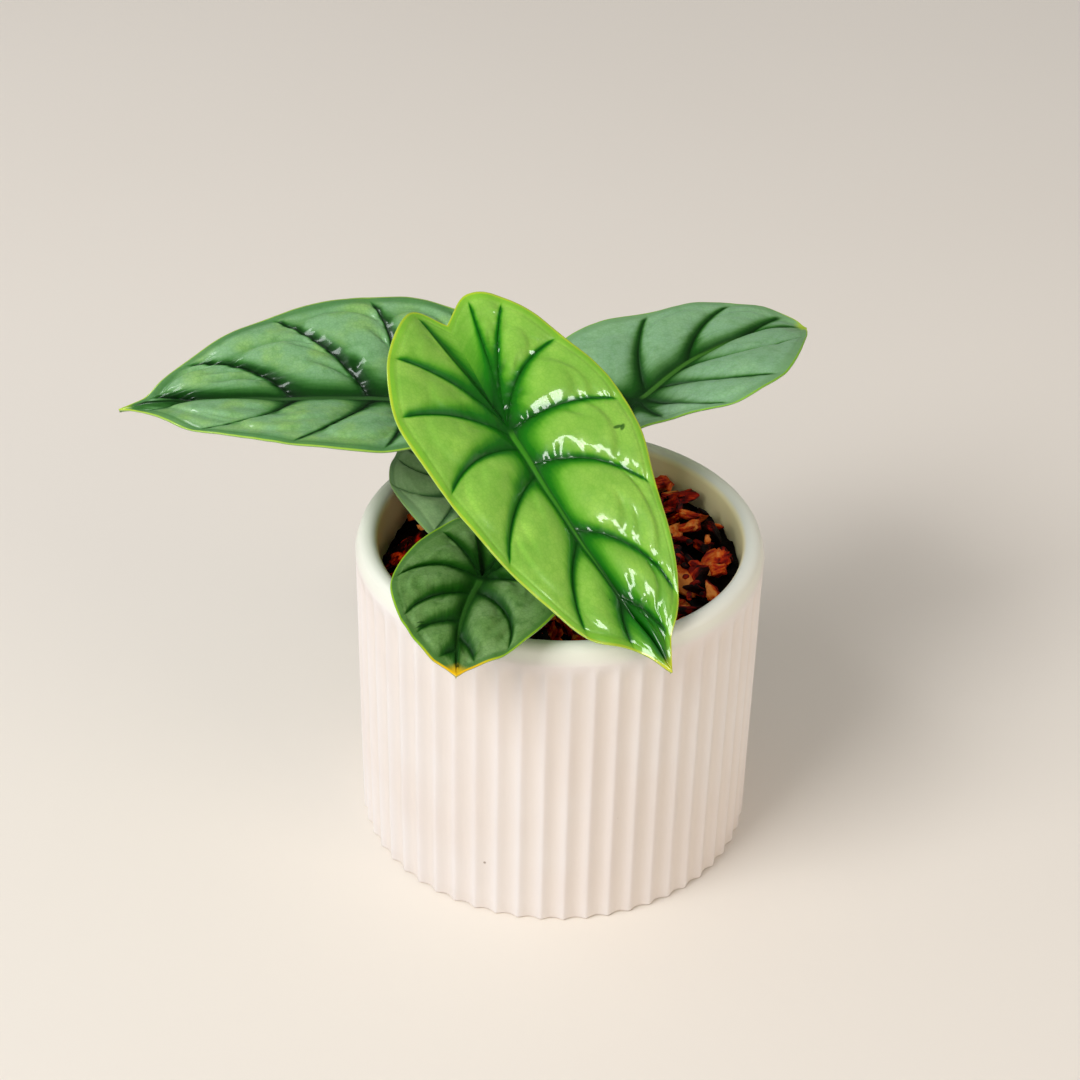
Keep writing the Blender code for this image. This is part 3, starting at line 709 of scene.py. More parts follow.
# The low leaf is a narrow mirror image of the small one
LEAVES["low"] = dict(
    LEAVES["small"], place=(-0.0305, 0.013, 0.1025), turn=(15, 0, 0), fold=0.1,
    notch=(-20, 0), tip=(44, 1), midrib_bow=-1.0,
    right=narrowed(LEAVES["small"]["left"], 0.8), left=narrowed(LEAVES["small"]["right"], 0.8),
    wrinkles=(0.2, 0.2), side_veins=(0.6, 0.6), dark=((1.6, 1.0), (1.6, 1.0)), trough=1.0, coarse=1.4)
for key, leaf in LEAVES.items():
    print("the", key, "leaf is", leaf["tip"][0], "mm long from its joint to its tip")


# %% [markdown]
# The margin is one smooth curve through the ends of the rows. Its tangents heed the spacing of the points,
# so that a close pair, as at a lobe, gives no loop. A vein line is a curve with one handle, which lies
# back towards the joint by the row's bow.

# %% From vein coordinates to the flat leaf
def rounded_curve(points, s):
    """A smooth curve through points at whole values of s: Hermite pieces on square-root spacing."""
    gaps = np.maximum(np.linalg.norm(np.diff(points, axis=0), axis=1) ** 0.5, 1e-9)
    slopes = np.diff(points, axis=0) / gaps[:, None]
    inner = slopes[:-1] * gaps[1:, None] + slopes[1:] * gaps[:-1, None]
    inner /= (gaps[1:] + gaps[:-1])[:, None]
    tangents = np.vstack([slopes[:1], inner, slopes[-1:]])
    k = np.clip(np.floor(s).astype(int), 0, len(points) - 2)
    f = (s - k)[..., None]
    gap = gaps[k][..., None]
    from_first = points[k] * (1 + 2 * f) * (1 - f) ** 2 + tangents[k] * gap * f * (1 - f) ** 2
    to_second = points[k + 1] * f**2 * (3 - 2 * f) + tangents[k + 1] * gap * f**2 * (f - 1)
    return from_first + to_second


def midrib_across(leaf, along):
    """How far the midrib strays from the straight axis: it bends to the tip and to the notch."""
    tip_along, tip_across = leaf["tip"]
    notch_along, notch_across = leaf["notch"]
    ahead = np.clip(along / tip_along, 0, 1)
    behind = np.clip(along / notch_along, 0, 1)
    return tip_across * ahead**2 + leaf["midrib_bow"] * np.sin(pi * ahead) + notch_across * behind**2


SIGNS = {"right": 1, "left": -1}


def side_rows(leaf, side):
    """One half's vein rows as an array, with the notch line first and the tip last."""
    sign = SIGNS[side]
    rows = [(0, *leaf["notch"], 0)]
    rows += [(root, along, sign * across, bow) for root, along, across, bow in leaf[side]]
    rows += [(leaf["tip"][0], *leaf["tip"], 0)]
    return np.array(rows, float)


def flat_point(leaf, side, q, t):
    """The flat place, in mm, of vein line q at the share t of its way from the midrib to the margin."""
    rows = side_rows(leaf, side)
    index = np.arange(len(rows))
    root = np.interp(q, index, rows[:, 0])
    start = np.stack([root, midrib_across(leaf, root)], -1)
    end = rounded_curve(rows[:, 1:3], q)
    chord = end - start
    back = np.stack([-np.abs(chord[..., 1]), SIGNS[side] * chord[..., 0]], -1)
    bow = np.interp(q, index, rows[:, 3])
    handle = (start + end) / 2 + back * bow[..., None]
    t = t[..., None]
    return start * (1 - t) ** 2 + handle * 2 * t * (1 - t) + end * t**2


# %% [markdown]
# The lines crowd towards the veins, where the surface bends most. Both halves share the midrib, so they
# need the same feet on it: each half takes its own lines and the other's.

# %% Where the lines lie
SPACING = 0.00055
CROWDING = 0.75
FEWEST_LINES = 6
ACROSS_STEPS = 66


def crowded(count, amount):
    """Shares from 0 to just under 1 that lie closer near both ends: u - a sin(2 pi u) / (2 pi)."""
    u = np.arange(count) / count
    return u - amount * np.sin(2 * pi * u) / (2 * pi)


def line_numbers(leaf, spacing):
    """The q of every line of each half. Past the fan at the joint, both halves stand on the same feet."""
    fans = {}
    feet = []
    for side in SIDES:
        rows = side_rows(leaf, side)
        widths = np.linalg.norm(np.diff(rows[:, 1:3], axis=0), axis=1) * MM
        fan = np.flatnonzero(rows[:, 0] == 0)[-1]
        steps = np.where(np.arange(len(widths)) < fan, spacing, 2 * spacing)
        counts = np.maximum((widths / steps).astype(int), FEWEST_LINES)
        panels = [k + crowded(count, CROWDING) for k, count in enumerate(counts)]
        q = np.append(np.concatenate(panels), len(rows) - 1)
        fans[side] = q[q <= fan]
        feet.append(np.interp(q[q > fan], np.arange(len(rows)), rows[:, 0]))
    feet = np.unique(np.round(np.concatenate(feet), 4))
    lines = {}
    for side in SIDES:
        rows = side_rows(leaf, side)
        fan = np.flatnonzero(rows[:, 0] == 0)[-1]
        beyond = np.interp(feet, rows[fan:, 0], np.arange(fan, len(rows)))
        lines[side] = np.concatenate([fans[side], beyond])
    return lines


# %% [markdown]
# ## The leaves, raised
# Three heights add up. The sheet folds up from the midrib and droops at its sides. Between the veins it
# swells, by a share of the panel's width. Then come the small things that catch the light: side veins
# that cross a panel in arcs, short wrinkles square to each vein, and a soft unevenness all over. Last,
# the whole sheet bends along the midrib on a circle, whose curvature is the arch.

# %% Swollen panels
FOLD_ROUND = 0.003
QUILT_LIFT = 0.16
QUILT_MOST = 2.5
QUILT_GENTLE = 5.5
QUILT_STEEP = 3.1
QUILT_DOME = 0.3
QUILT_RISE = 0.07
QUILT_START = 0.03
MARGIN_RIPPLE = 0.6


def panel_facts(leaf, side, q, t):
    """For each point: its panel, its share f of the way across it, and the panel's width there in mm."""
    last = len(side_rows(leaf, side)) - 1
    low = np.clip(np.floor(q), 0, last - 1)
    across = flat_point(leaf, side, low + 1, t) - flat_point(leaf, side, low, t)
    return low, q - low, np.linalg.norm(across, axis=-1), last


def slope(distance, length):
    """An even rise from 0 that rounds off to 1 after the given length: u / (1 + u^4)^(1/4)."""
    u = np.maximum(distance, 0) / length
    return u / (1 + u**4) ** 0.25


def quilting(low, f, width, t):
    """Height of the swollen panels in mm: part dome, sin(pi f), and part a flat top between two slopes.
    A panel rises gently from the vein behind it and falls steeply to the next. The notch's own panel,
    the first, stays low."""
    dome = np.sin(pi * np.clip(f, 0, 1))
    flat_top = slope(f * width, QUILT_GENTLE) * slope((1 - f) * width, QUILT_STEEP)
    swell = QUILT_DOME * dome + (1 - QUILT_DOME) * flat_top
    envelope = (1 - np.exp(-np.maximum(t - QUILT_START, 0) / QUILT_RISE)) * (1 - t**4)
    height = np.minimum(QUILT_LIFT * width, QUILT_MOST) * swell * envelope
    ripple = MARGIN_RIPPLE * np.sin(pi * f) ** 2 * t**3
    return np.where(low == 0, 0, height + ripple)


# %% Side veins and wrinkles
# Heights, widths and distances are in mm
SIDE_VEINS_A_PANEL = 3
SIDE_VEIN_STEEP = 1.5
SIDE_VEIN_GENTLE = 3.0
SIDE_VEIN_DEPTH = 0.5
TROUGH_SIDE = 2.4
GROOVE_DEPTH = 0.7
GROOVE_WIDTH = 2.6
RIB_HEIGHT = 0.4
RIB_WIDTH = 0.9
MARGIN_GROOVE = 0.12
MARGIN_GROOVE_AT = 2.6
WRINKLE_REACH = 2.6
WRINKLE_SIZES = (1.7, 0.9)
QUILT_AT_TIP = 0.35
LARGE_DRIFT = 0.25
SMALL_DRIFT = 0.08
# Farther from a vein than its dark zone and its wrinkles reach
FAR = 9.0


def bell(distance, width):
    """1 at distance 0, and less the farther away: e to the power of minus (distance / width) squared."""
    return np.exp(-((distance / width) ** 2))


def midrib_taper(ahead):
    """The midrib's size: 1 at the joint, a quarter at the tip."""
    return 1 - 0.75 * np.clip(ahead, 0, 1)


def side_veins(low, f, t, length, seed):
    """How strongly a side vein passes each point, 0 to 1. Each leaves one main vein at t0 and loops towards
    the next: t = t0 + a sin(pi g)^0.8 + b g, where g is the share of the panel that it has crossed. The
    sheet drops steeply into it on the side of the midrib, and rises gently on the other."""
    draw = random.Random(seed)
    total = np.zeros_like(t)
    for panel in range(1, int(low.max()) + 1):
        for number in range(SIDE_VEINS_A_PANEL):
            begin = 0.14 + 0.6 * (number + draw.uniform(0.1, 0.9)) / SIDE_VEINS_A_PANEL
            loop = draw.uniform(0.1, 0.2)
            slant = draw.uniform(-0.06, 0.06)
            crossed = draw.uniform(0.35, 0.7) if begin < 0.55 else 2
            g = f if draw.random() < 0.6 else 1 - f
            curve = begin + loop * np.sin(pi * np.clip(g, 0, 1)) ** 0.8 + slant * g
            away = (t - curve) * length
            reach = np.where(away > 0, SIDE_VEIN_GENTLE, SIDE_VEIN_STEEP)
            shown = ease(0.0, 0.12, g) * (1 - ease(crossed - 0.25, crossed, g)) * (low == panel)
            total = np.maximum(total, bell(away, reach) * shown)
    return total


def wrinkles(beside, t, length, seed):
    """Short ribs square to the vein, on the slopes beside it: noise that is fine along the vein only."""
    strength = np.exp(-beside / WRINKLE_REACH) * (1 - np.exp(-beside / 0.4))
    places = np.stack([t * length, beside * 0.3], -1)
    coarse, fine = WRINKLE_SIZES
    return strength * (drift(places, coarse, seed) + 0.5 * drift(places, fine, seed + 1))


# %% The whole surface of one half
def raised_leaf(leaf, flat, lateral, height):
    """Points, in metres, of the flat leaf once it is folded, drooped, raised by height and bent."""
    across = lateral * MM
    raised = leaf["fold"] * ((across**2 + FOLD_ROUND**2) ** 0.5 - FOLD_ROUND)
    raised = raised - leaf["droop"] * across**2 + height * MM
    bend = leaf["arch"] * flat[..., 0] * MM
    y = np.sin(bend) / leaf["arch"] + raised * np.sin(bend)
    z = (np.cos(bend) - 1) / leaf["arch"] + raised * np.cos(bend)
    return np.stack([flat[..., 1] * MM, y, z], -1)


def blade_half(leaf, side, q, t, seed):
    """The raised upper face, the same sheet before it was raised, and what the finish needs to know."""
    flat = flat_point(leaf, side, q, t)
    low, f, width, last = panel_facts(leaf, side, q, t)
    chord = flat_point(leaf, side, q, np.ones_like(t)) - flat_point(leaf, side, q, np.zeros_like(t))
    length = np.linalg.norm(chord, axis=-1)
    lateral = flat[..., 1] - midrib_across(leaf, flat[..., 0])
    ahead = flat[..., 0] / leaf["tip"][0]
    before = np.where(low == last - 1, FAR, (1 - f) * width)
    behind = np.where(low == 0, FAR, f * width)
    # On the vein itself both are 0, or else a light line would show between its two neighbours
    off_vein = np.abs(q - np.round(q)) > 1e-4
    before = before * np.where(q > 0.5, off_vein, 1)
    behind = behind * np.where(q > 0.5, off_vein, 1)
    beside_vein = np.minimum(before, behind)
    to_margin = (1 - t) * length
    from_joint = np.linalg.norm(flat, axis=-1)
    from_rib = np.where(flat[..., 0] > 0, np.abs(lateral), from_joint)
    to_tip = np.linalg.norm(flat - np.array(leaf["tip"]), axis=-1)
    half = SIDES.index(side)
    own_seed = seed + 50 * half
    arcs = side_veins(low, f, t, length, own_seed) * leaf["side_veins"][half]
    arcs = arcs * ease(0.5, 3.0, beside_vein) * ease(0, 3, to_margin)

    # The quilting calms down over the last 16 mm before the tip
    height = quilting(low, f, width, t) * (QUILT_AT_TIP + (1 - QUILT_AT_TIP) * ease(2, 16, to_tip))
    height -= SIDE_VEIN_DEPTH * arcs
    # The notch's panel is a trough, deepest near the joint
    # Its colour mask darkens the notch's trough most near the joint: painted shade in the hollow
    trough = (1 - f**4) * (1 - 0.75 * t) * (low == 0)
    height -= leaf["trough"] * slope((1 - f) * width, TROUGH_SIDE) * (1 - t) * (low == 0)
    rough_side = np.minimum(before, 3 * behind)
    ribs = wrinkles(rough_side, t, length, own_seed) * (low > 0)
    height += leaf["wrinkles"][half] * ribs * ease(0, 0.08, t) * ease(0, 5, to_margin)
    # The midrib lies in a groove, with its own low rib in the middle
    height -= GROOVE_DEPTH * midrib_taper(ahead) * bell(from_rib, GROOVE_WIDTH)
    height += RIB_HEIGHT * midrib_taper(ahead) * bell(from_rib, RIB_WIDTH)
    height -= MARGIN_GROOVE * bell(to_margin - MARGIN_GROOVE_AT, 0.5) * ease(4, 12, length)
    height = height * ease(0.3, 4.0, from_joint)
    # This drift is the same on both halves, so that they still meet at the midrib
    height += LARGE_DRIFT * drift(flat, 9.0, seed) + SMALL_DRIFT * drift(flat, 3.5, seed + 3)

    # The green darkens over some distance before and behind a vein, not the same in the two halves: partly
    # the veins' own deep green, partly painted shade on the slopes that face away from the light
    darkening_and_shade_before, darkening_and_shade_behind = leaf["dark"][half]
    masks = {
        "before": before / darkening_and_shade_before,
        "behind": behind / darkening_and_shade_behind,
        "vein_mm": beside_vein,
        "trough": trough,
        "rib_mm": from_rib,
        "edge_mm": to_margin,
        "reach": t,
        "ahead": ahead,
        "arcs": arcs,
        "tip_mm": to_tip,
        "leaf": np.concatenate([flat * MM, np.zeros((*flat.shape[:-1], 1))], -1),
        "sheet": raised_leaf(leaf, flat, lateral, 0),
    }
    return raised_leaf(leaf, flat, lateral, height), masks


# %% [markdown]
# ## From sheet to blade
# The two halves are welded along the midrib. The lower face lies below the upper one, at a depth that is
# small at the margin and larger under the midrib and the veins, which stand out below as ribs. The depth
# is measured along the normals of the plain sheet, before it was raised. Along the raised surface's own
# normals, the lower face would cross itself in the narrow creases. A band closes the margin.

# %% Give the sheet its thickness
def blade_turn(leaf):
    """The blade's own axes in the world: across, along the midrib, and up from its face."""
    yaw, pitch, roll = (radians(angle) for angle in leaf["turn"])
    turn = Matrix.Rotation(yaw, 3, "Z") @ Matrix.Rotation(pitch, 3, "X") @ Matrix.Rotation(roll, 3, "Y")
    return np.array(turn)


MARGIN_THICKNESS = 0.42
MORE_WITHIN = 0.4
MIDRIB_BELOW = 1.1
VEIN_BELOW = 0.6


def blade_form(leaf, seed):
    """Both halves of the upper face, the lower face at a depth below it, and the band between them."""
    lines = line_numbers(leaf, SPACING * leaf["coarse"])
    steps = int(ACROSS_STEPS / leaf["coarse"])
    t = np.append(crowded(steps, 0.45), 1.0)
    parts = []
    for side in SIDES:
        grid_q, grid_t = np.meshgrid(lines[side], t, indexing="ij")
        points, masks = blade_half(leaf, side, grid_q, grid_t, seed)
        faces = grid_faces(*grid_q.shape)
        if side == "right":
            faces = faces[:, ::-1]
        flat_masks = {key: values.reshape(grid_q.size, *values.shape[2:]) for key, values in masks.items()}
        parts.append((points.reshape(-1, 3), faces, flat_masks))
    points, faces, masks = gather(parts)
    first, faces = weld(points, faces)
    points = points[first]
    masks = {key: values[first] for key, values in masks.items()}

    # Thickness in mm: the margin's, more within, and ribs under the midrib and the veins
    rib = MIDRIB_BELOW * midrib_taper(masks["ahead"]) * bell(masks["rib_mm"], 1.3)
    rib += VEIN_BELOW * (1 - masks["reach"]) * bell(masks["vein_mm"], RIB_WIDTH)
    thick = MARGIN_THICKNESS + MORE_WITHIN * ease(0, 3, masks["edge_mm"]) + np.minimum(rib, MIDRIB_BELOW)
    # At the joint, where all lines meet, a sliver may be turned over: every normal has to point up
    facing = point_normals(masks.pop("sheet"), faces)
    facing *= np.where(facing[:, 2:] < 0, -1, 1)
    under = points - facing * (thick * MM)[:, None]
    ends = np.concatenate([faces[:, [0, 1]], faces[:, [1, 2]], faces[:, [2, 0]]])
    _, index, uses = np.unique(np.sort(ends, axis=1), axis=0, return_inverse=True, return_counts=True)
    rim = ends[uses[index.reshape(-1)] == 1]
    count = len(points)
    band = [np.stack([rim[:, 1], rim[:, 0], rim[:, 0] + count], -1),
            np.stack([rim[:, 1], rim[:, 0] + count, rim[:, 1] + count], -1)]
    faces = np.concatenate([faces, faces[:, ::-1] + count, *band])
    masks = {key: np.concatenate([values, values]) for key, values in masks.items()}
    masks["under"] = np.repeat([0.0, 1.0], count)
    points = np.concatenate([points, under]) @ blade_turn(leaf).T + np.array(leaf["place"])
    return points, faces, masks


# %% [markdown]
# ## Leaf finishes
# The colour follows the veins. A panel is silvery green with a brighter bloom in places. It darkens
# towards each vein, over a few millimetres beside the midrib and much less at the margin. That darkening is
# partly the veins' own deep green and partly painted shade: on the slopes that fall into the veins, in the
# midrib's groove and in the trough at the notch. The midrib's own rib is pale, the margin is a lime-green
# line, and the tip is yellow. The newest leaf hasn't turned silver yet: it is bright green, thin enough to
# glow, and glossy as if wet. The underside is paler and matt. All five blades share one finish, whose noise
# sizes are in metres, and differ in their looks alone.

# %% One paint for all five leaves
def leaf_paint(name, look):
    """The finish of a blade, from the masks of its mesh and from one of the looks below."""
    paint = Paint(name)
    place = paint.attribute("leaf", "Vector")
    names = ("before", "behind", "rib_mm", "edge_mm", "reach", "ahead", "under", "tip_mm")
    before, behind, rib, edge, reach, ahead, under, tip = [paint.attribute(name) for name in names]
    cloud = paint.noise(place, 0.012, 3.0)
    grain = paint.noise(place, 0.0009, 3.0)
    cell = paint.node(
        "TexVoronoi", {"feature": "DISTANCE_TO_EDGE"}, {"Vector": place, "Scale": 800.0}, "Distance")
    netting = cell.ease(0.16, 0.02)

    # How dark the green is: 1 on a vein, less the farther away, by an exponential. It is partly the veins'
    # own colour and partly painted shade
    spread = 1.5 - 1.2 * reach
    on_vein = 1 - (1 - (-(before / spread)).exp()) * (1 - (-(behind / spread)).exp())
    # The midrib's groove is darkened too: partly its own green, partly painted shade
    on_rib = (-(rib / (look["rib_spread"] * (1.2 - ahead)))).exp()
    shade = 1 - (1 - on_vein * edge.ease(0.2, 5.0)) * (1 - on_rib)
    # The trough at the notch is darker near the joint: painted shade in the hollow
    shade = shade + paint.attribute("trough") * look["trough_shade"]
    uneven = (cloud - 0.5) * 0.2 + (grain - 0.5) * 0.06
    uneven = uneven + paint.attribute("arcs") * 0.1 + ahead.ease(0.4, 0.95) * look["tip_shade"]
    # Fine strands cross each panel from vein to vein, like the rungs of a ladder
    ladder = paint.node("CombineXYZ", {}, {"X": reach * 26, "Y": before * 0.1})
    strands = paint.noise(ladder, 1.0, 3.0)
    uneven = uneven + (strands - 0.5) * look["strands"]
    shade = shade * look["shade"] + uneven
    panel = paint.blend(look["panel"], look["glow"], cloud.ease(0.42, 0.68))
    mottle = paint.noise(place, 0.0035, 3.0).ease(0.45, 0.75) * look["mottle"]
    panel = paint.blend(panel, look["mid"], netting * look["netting"] + mottle)
    stops = [(0.0, look["mid"]), (0.36, look["mid"]), (0.64, look["deep"]), (1.0, look["vein"])]
    dark = paint.node("ValToRGB", {"stops": stops}, {"Fac": shade})
    colour = paint.blend(panel, dark, shade.ease(0.1, 0.5))
    pale = (rib + ahead * look["rib_narrows"]).ease(1.25, 0.6)
    pale = pale * ahead.ease(0.0, 0.04) * ahead.ease(0.95, 0.45)
    colour = paint.blend(colour, look["rib"], pale * 0.75)

    # The margin: a band without silver, and a bright line at the very edge
    colour = paint.blend(colour, look["band"], edge.ease(look["band_mm"], look["band_mm"] * 0.4) * 0.75)
    rim_colour = paint.blend(look["rim"], look["tip"], tip.ease(16.0, 3.0))
    colour = paint.blend(colour, rim_colour, edge.ease(look["rim_mm"], look["rim_mm"] * 0.4))
    colour = paint.blend(colour, look["tip"], tip.ease(5.0, 1.5) * 0.8)
    # Small scars, each an ellipse: how far along and across it lies, its half length and width, its turn
    for along, across, long, wide, turn in look["scars"]:
        inside = paint.node("Mapping", {"vector_type": "TEXTURE"}, {
            "Vector": place, "Location": (along * MM, across * MM, 0),
            "Rotation": (0, 0, radians(turn)), "Scale": (long * MM, wide * MM, 1)})
        away = paint.node("VectorMath", {"operation": "LENGTH"}, {0: inside}, "Value")
        colour = paint.blend(colour, look["vein"], away.ease(1.1, 0.5) * 0.8)
    colour = paint.blend(colour, look["under"], under)

    rough = look["rough"] + 0.25 * (paint.noise(place, 0.004, 2.0) - 0.5) + 0.2 * under
    # The bottom of a vein's furrow has no gloss
    furrow = paint.attribute("vein_mm").ease(0.5, 0.2)
    pores = paint.bump(grain + strands - netting * 0.12, look["pores"])
    return paint.finish(
        base_color=colour, roughness=rough, normal=pores, specular_ior_level=look["specular"],
        subsurface_weight=look["glow_through"], subsurface_radius=(0.5, 1.0, 0.15), subsurface_scale=0.0015,
        coat_weight=look["coat"] * (1 - furrow), coat_roughness=0.09)


# %% The looks
def look_of(base, **changes):
    """A copy of a look with some of it changed. Three numbers are a colour, as a picture shows it."""
    shown = {key: display(*value) if isinstance(value, tuple) else value for key, value in changes.items()}
    return {**base, **shown}


NEW_LEAF = look_of(
    {}, panel=(138, 194, 74), glow=(158, 210, 86), mid=(84, 164, 28), deep=(22, 116, 4), vein=(4, 76, 1),
    rib=(70, 158, 28), band=(124, 190, 44), rim=(176, 204, 50), tip=(206, 214, 30), under=(146, 194, 96),
    band_mm=3.0, rim_mm=0.85, rib_spread=3.6, rib_narrows=1.3, trough_shade=0.75, tip_shade=0.3, shade=1.0,
    netting=0.15, mottle=0.2, strands=0.14, pores=0.00003, rough=0.36, coat=0.7, specular=0.15,
    glow_through=0.15,
    scars=[(14.2, -27.6, 1.8, 0.6, 100), (14.9, -28.9, 1.4, 0.7, 60), (54.6, 4.2, 0.3, 0.3, 0)])
SILVER_LEAF = look_of(
    {}, panel=(130, 178, 126), glow=(142, 188, 108), mid=(66, 126, 54), deep=(18, 72, 12), vein=(3, 34, 4),
    rib=(52, 100, 42), band=(64, 122, 56), rim=(158, 198, 66), tip=(178, 208, 36), under=(138, 168, 124),
    band_mm=5.0, rim_mm=0.7, rib_spread=4.2, rib_narrows=0.5, trough_shade=0.6, tip_shade=0.0, shade=1.05,
    netting=0.18, mottle=0.3, strands=0.2, pores=0.00004, rough=0.42, coat=0.35, specular=0.2,
    glow_through=0.06, scars=[])
LOOKS = {
    "front": NEW_LEAF,
    "left": SILVER_LEAF,
    "back": look_of(
        SILVER_LEAF, panel=(132, 176, 134), glow=(138, 182, 136), mid=(82, 136, 68), deep=(26, 88, 14),
        vein=(8, 56, 4), rib=(72, 130, 40), band=(112, 158, 104), rim=(130, 186, 44), coat=0.0, rough=0.5,
        rib_spread=3.2),
    "small": look_of(
        SILVER_LEAF, panel=(104, 144, 78), glow=(122, 158, 98), mid=(50, 96, 30), deep=(22, 72, 10),
        vein=(8, 48, 5), rib=(46, 96, 28), band=(70, 118, 50), rim=(138, 184, 34), tip=(236, 188, 12),
        coat=0.0, rough=0.5, specular=0.1, rib_spread=2.4, rib_narrows=1.0, band_mm=3.0, mottle=0.5,
        scars=[(26.0, 11.5, 2.4, 0.4, 45), (25.0, 12.0, 1.4, 0.3, 60), (38.6, -0.6, 0.6, 0.6, 0)]),
    "low": look_of(
        SILVER_LEAF, panel=(142, 174, 124), glow=(148, 180, 128), mid=(104, 142, 90), deep=(70, 108, 64),
        vein=(56, 92, 52), rib=(84, 122, 74), band=(108, 142, 98), rim=(126, 160, 96), coat=0.0, rough=0.55,
        rib_spread=1.6, band_mm=3.0),
}
for number, (key, leaf) in enumerate(LEAVES.items()):
    material = leaf_paint("leaf_" + key, LOOKS[key])
    slot = "new_leaf" if key == "front" else "silver_leaf"
    make_piece("leaf_" + key, blade_form(leaf, 10 * number + 1), material, slot, "blade_" + key)

# %% [markdown]
# ## The stalks
# Each rises from its place in a ring on the crown, in the order of the leaves round the pot, and meets its
# blade from below at the joint. At its foot it clasps the crown with a sheath, which is paler and flushed
# with brown. Fine stripes run up it.

# %% Stalks
PETIOLE_RING = 0.0053
PETIOLE_BASE_RADIUS = 0.0025
PETIOLE_TOP_RADIUS = 0.0015
BLADE_THICKNESS = 0.0008
PETIOLE_HANDLES = {"front": (0.030, 0.016), "left": (0.030, 0.020), "back": (0.018, 0.012),
                   "small": (0.008, 0.012), "low": (0.006, 0.010)}


def stalk_form(leaf, handles, angle, seed):
    """A tube from the ring on the crown to the joint, swollen at both ends. Its two handles are lengths."""
    face_up = blade_turn(leaf)[:, 2]
    arrive = face_up + (0, 0, 1)
    arrive /= np.linalg.norm(arrive)
    slant = PETIOLE_TOP_RADIUS * np.linalg.norm(np.cross(face_up, arrive))
    top = np.array(leaf["place"]) - face_up * (BLADE_THICKNESS + CLEARANCE) - arrive * slant
    foot = np.array((PETIOLE_RING * np.cos(angle), PETIOLE_RING * np.sin(angle), CROWN_TOP + CLEARANCE))
    path = bezier(foot, foot + (0, 0, handles[0]), top - arrive * handles[1], top, 60)
    share = np.linspace(0, 1, 60)
    radii = PETIOLE_BASE_RADIUS + (PETIOLE_TOP_RADIUS - PETIOLE_BASE_RADIUS) * share
    radii = radii * (1 + 0.14 * np.exp(-share / 0.08) + 0.22 * np.exp(-(1 - share) / 0.03))
    plane = np.cross(top - foot, arrive + (0, 0, 1))
    return tube(path, radii, 24, plane / np.linalg.norm(plane), 0.05, seed)


def stalk_paint():
    """Green that pales on the way up, darker stripes along it, and brown at the sheath."""
    paint = Paint("stalk_green")
    rise = paint.attribute("rise")
    place = paint.object_place()
    long = paint.node("Mapping", {}, {"Vector": place, "Scale": (1.0, 1.0, 0.15)})
    stripe = paint.noise(long, 0.0009, 3.0)
    colour = paint.blend(display(112, 138, 62), display(142, 176, 84), rise.ease(0.1, 0.8))
    colour = paint.blend(colour, display(86, 118, 48), stripe.ease(0.5, 0.62) * 0.6)
    colour = paint.blend(colour, display(150, 112, 74), rise.ease(0.16, 0.0) * 0.7)
    return paint.finish(
        base_color=colour, roughness=0.4 + 0.3 * (stripe - 0.5), normal=paint.bump(stripe, 0.00015),
        subsurface_weight=0.08, subsurface_radius=(0.6, 1.0, 0.2), subsurface_scale=0.002)


stalk_green = stalk_paint()
ring = sorted(LEAVES, key=lambda key: np.arctan2(LEAVES[key]["place"][1], LEAVES[key]["place"][0]))
for number, key in enumerate(ring):
    foot_angle = -pi * 0.8 + 2 * pi * number / len(ring)
    form = stalk_form(LEAVES[key], PETIOLE_HANDLES[key], foot_angle, number)
    make_piece("stalk_" + key, form, stalk_green, "stalk", "petiole_" + key)

# %% [markdown]
# ## Floor, light and camera
# The floor is plain and pale. A large soft light stands at the upper left, as a window would, and the
# world fills the shadows. Two narrow lights are seen only in gloss: one low on the right and one high
# behind on the left. They draw the bright rims of the grooves without washing out the panels.

# %% The floor
def plain_floor():
    """A square of 6 m, cream in two close tones."""
    mesh = bpy.data.meshes.new("floor")
    mesh.from_pydata([(-3, -3, 0), (3, -3, 0), (3, 3, 0), (-3, 3, 0)], [], [(0, 1, 2, 3)])
    paint = Paint("pale_floor")
    cloud = paint.noise(paint.object_place(), 0.4, 2.0)
    colour = paint.blend(display(236, 230, 222), display(231, 224, 215), cloud)
    mesh.materials.append(paint.finish(base_color=colour, roughness=0.7))
    floor = bpy.data.objects.new("floor", mesh)
    bpy.context.scene.collection.objects.link(floor)


plain_floor()

# %% The lights
AIM = np.array([0.0, 0.0, 0.12])


def stand(thing, right, up, back, place):
    """Puts a light or the camera at a place, turned to three directions, and into the scene."""
    axes = np.stack([right, up, back, place], -1)
    thing.matrix_world = Matrix([*axes.tolist(), [0, 0, 0, 1]])
    bpy.context.scene.collection.objects.link(thing)
    print(thing.name, "stands at", np.round(place, 3).tolist())


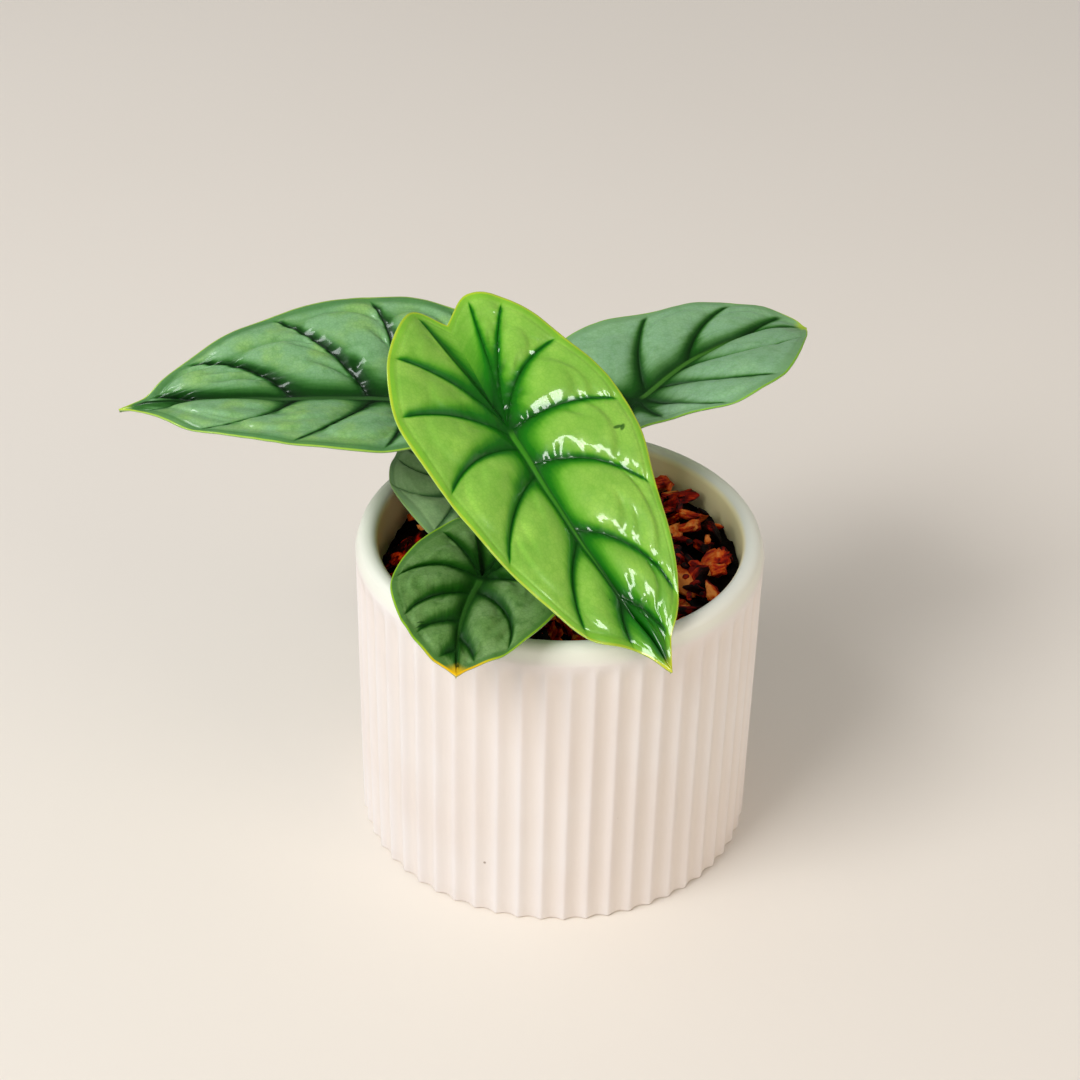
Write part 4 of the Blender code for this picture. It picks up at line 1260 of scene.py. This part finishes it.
def soft_light(name, azimuth, elevation, distance, wide, tall, power, colour, diffuse=True, gloss=True):
    """An upright panel of light that faces the plant. Azimuth 0 is behind it (+Y), 90 on its right (+X)."""
    turn, rise = radians(azimuth), radians(elevation)
    back = np.array([np.sin(turn) * np.cos(rise), np.cos(turn) * np.cos(rise), np.sin(rise)])
    right = np.cross((0, 0, 1), back)
    right /= np.linalg.norm(right)
    light = bpy.data.lights.new(name, "AREA")
    light.shape = "RECTANGLE"
    light.size = wide
    light.size_y = tall
    light.energy = power
    light.color = colour
    lamp = bpy.data.objects.new(name, light)
    lamp.visible_camera = False
    lamp.visible_diffuse = diffuse
    lamp.visible_glossy = gloss
    stand(lamp, right, np.cross(back, right), back, AIM + back * distance)


soft_light("window", -128, 41, 2.4, 1.4, 1.4, 52, (1.0, 0.99, 0.975), gloss=False)
soft_light("warm_side", 128, 14, 1.6, 0.9, 0.9, 6, (1.0, 0.8, 0.55), gloss=False)
soft_light("gloss_right", 128, 25, 1.1, 0.34, 0.7, 12, (1.0, 1.0, 1.0), diffuse=False)
soft_light("gloss_left", -68, 40, 1.1, 0.4, 0.4, 6, (0.95, 1.0, 1.0), diffuse=False)

world = bpy.data.worlds.new("even_light")
bpy.context.scene.world = world
world.use_nodes = True
nodes, links = world.node_tree.nodes, world.node_tree.links
sky = nodes["Background"]
sky.inputs["Color"].default_value = (1.0, 0.985, 0.97, 1)
# The world is dimmer where it is only mirrored
ray = nodes.new("ShaderNodeLightPath")
strength = nodes.new("ShaderNodeMapRange")
strength.inputs["To Min"].default_value = 0.42
strength.inputs["To Max"].default_value = 0.12
links.new(ray.outputs["Is Glossy Ray"], strength.inputs["Value"])
links.new(strength.outputs["Result"], sky.inputs["Strength"])
bpy.context.scene.view_settings.view_transform = "Standard"

# %% [markdown]
# The camera looks down on the plant by about a third of a right angle and is rolled by one degree. Its
# three axes are written as directions.

# %% The camera
CAMERA_PLACE = (-0.005903, -0.538697, 0.452178)
CAMERA_RIGHT = (0.99977, 0.01196, 0.01803)
CAMERA_UP = (-0.02164, 0.55257, 0.8332)
CAMERA_BACK = (0.0, -0.8334, 0.5527)
camera = bpy.data.objects.new("camera", bpy.data.cameras.new("camera"))
stand(camera, CAMERA_RIGHT, CAMERA_UP, CAMERA_BACK, CAMERA_PLACE)
camera.data.lens = 73.333
camera.data.sensor_width = 36
bpy.context.scene.camera = camera
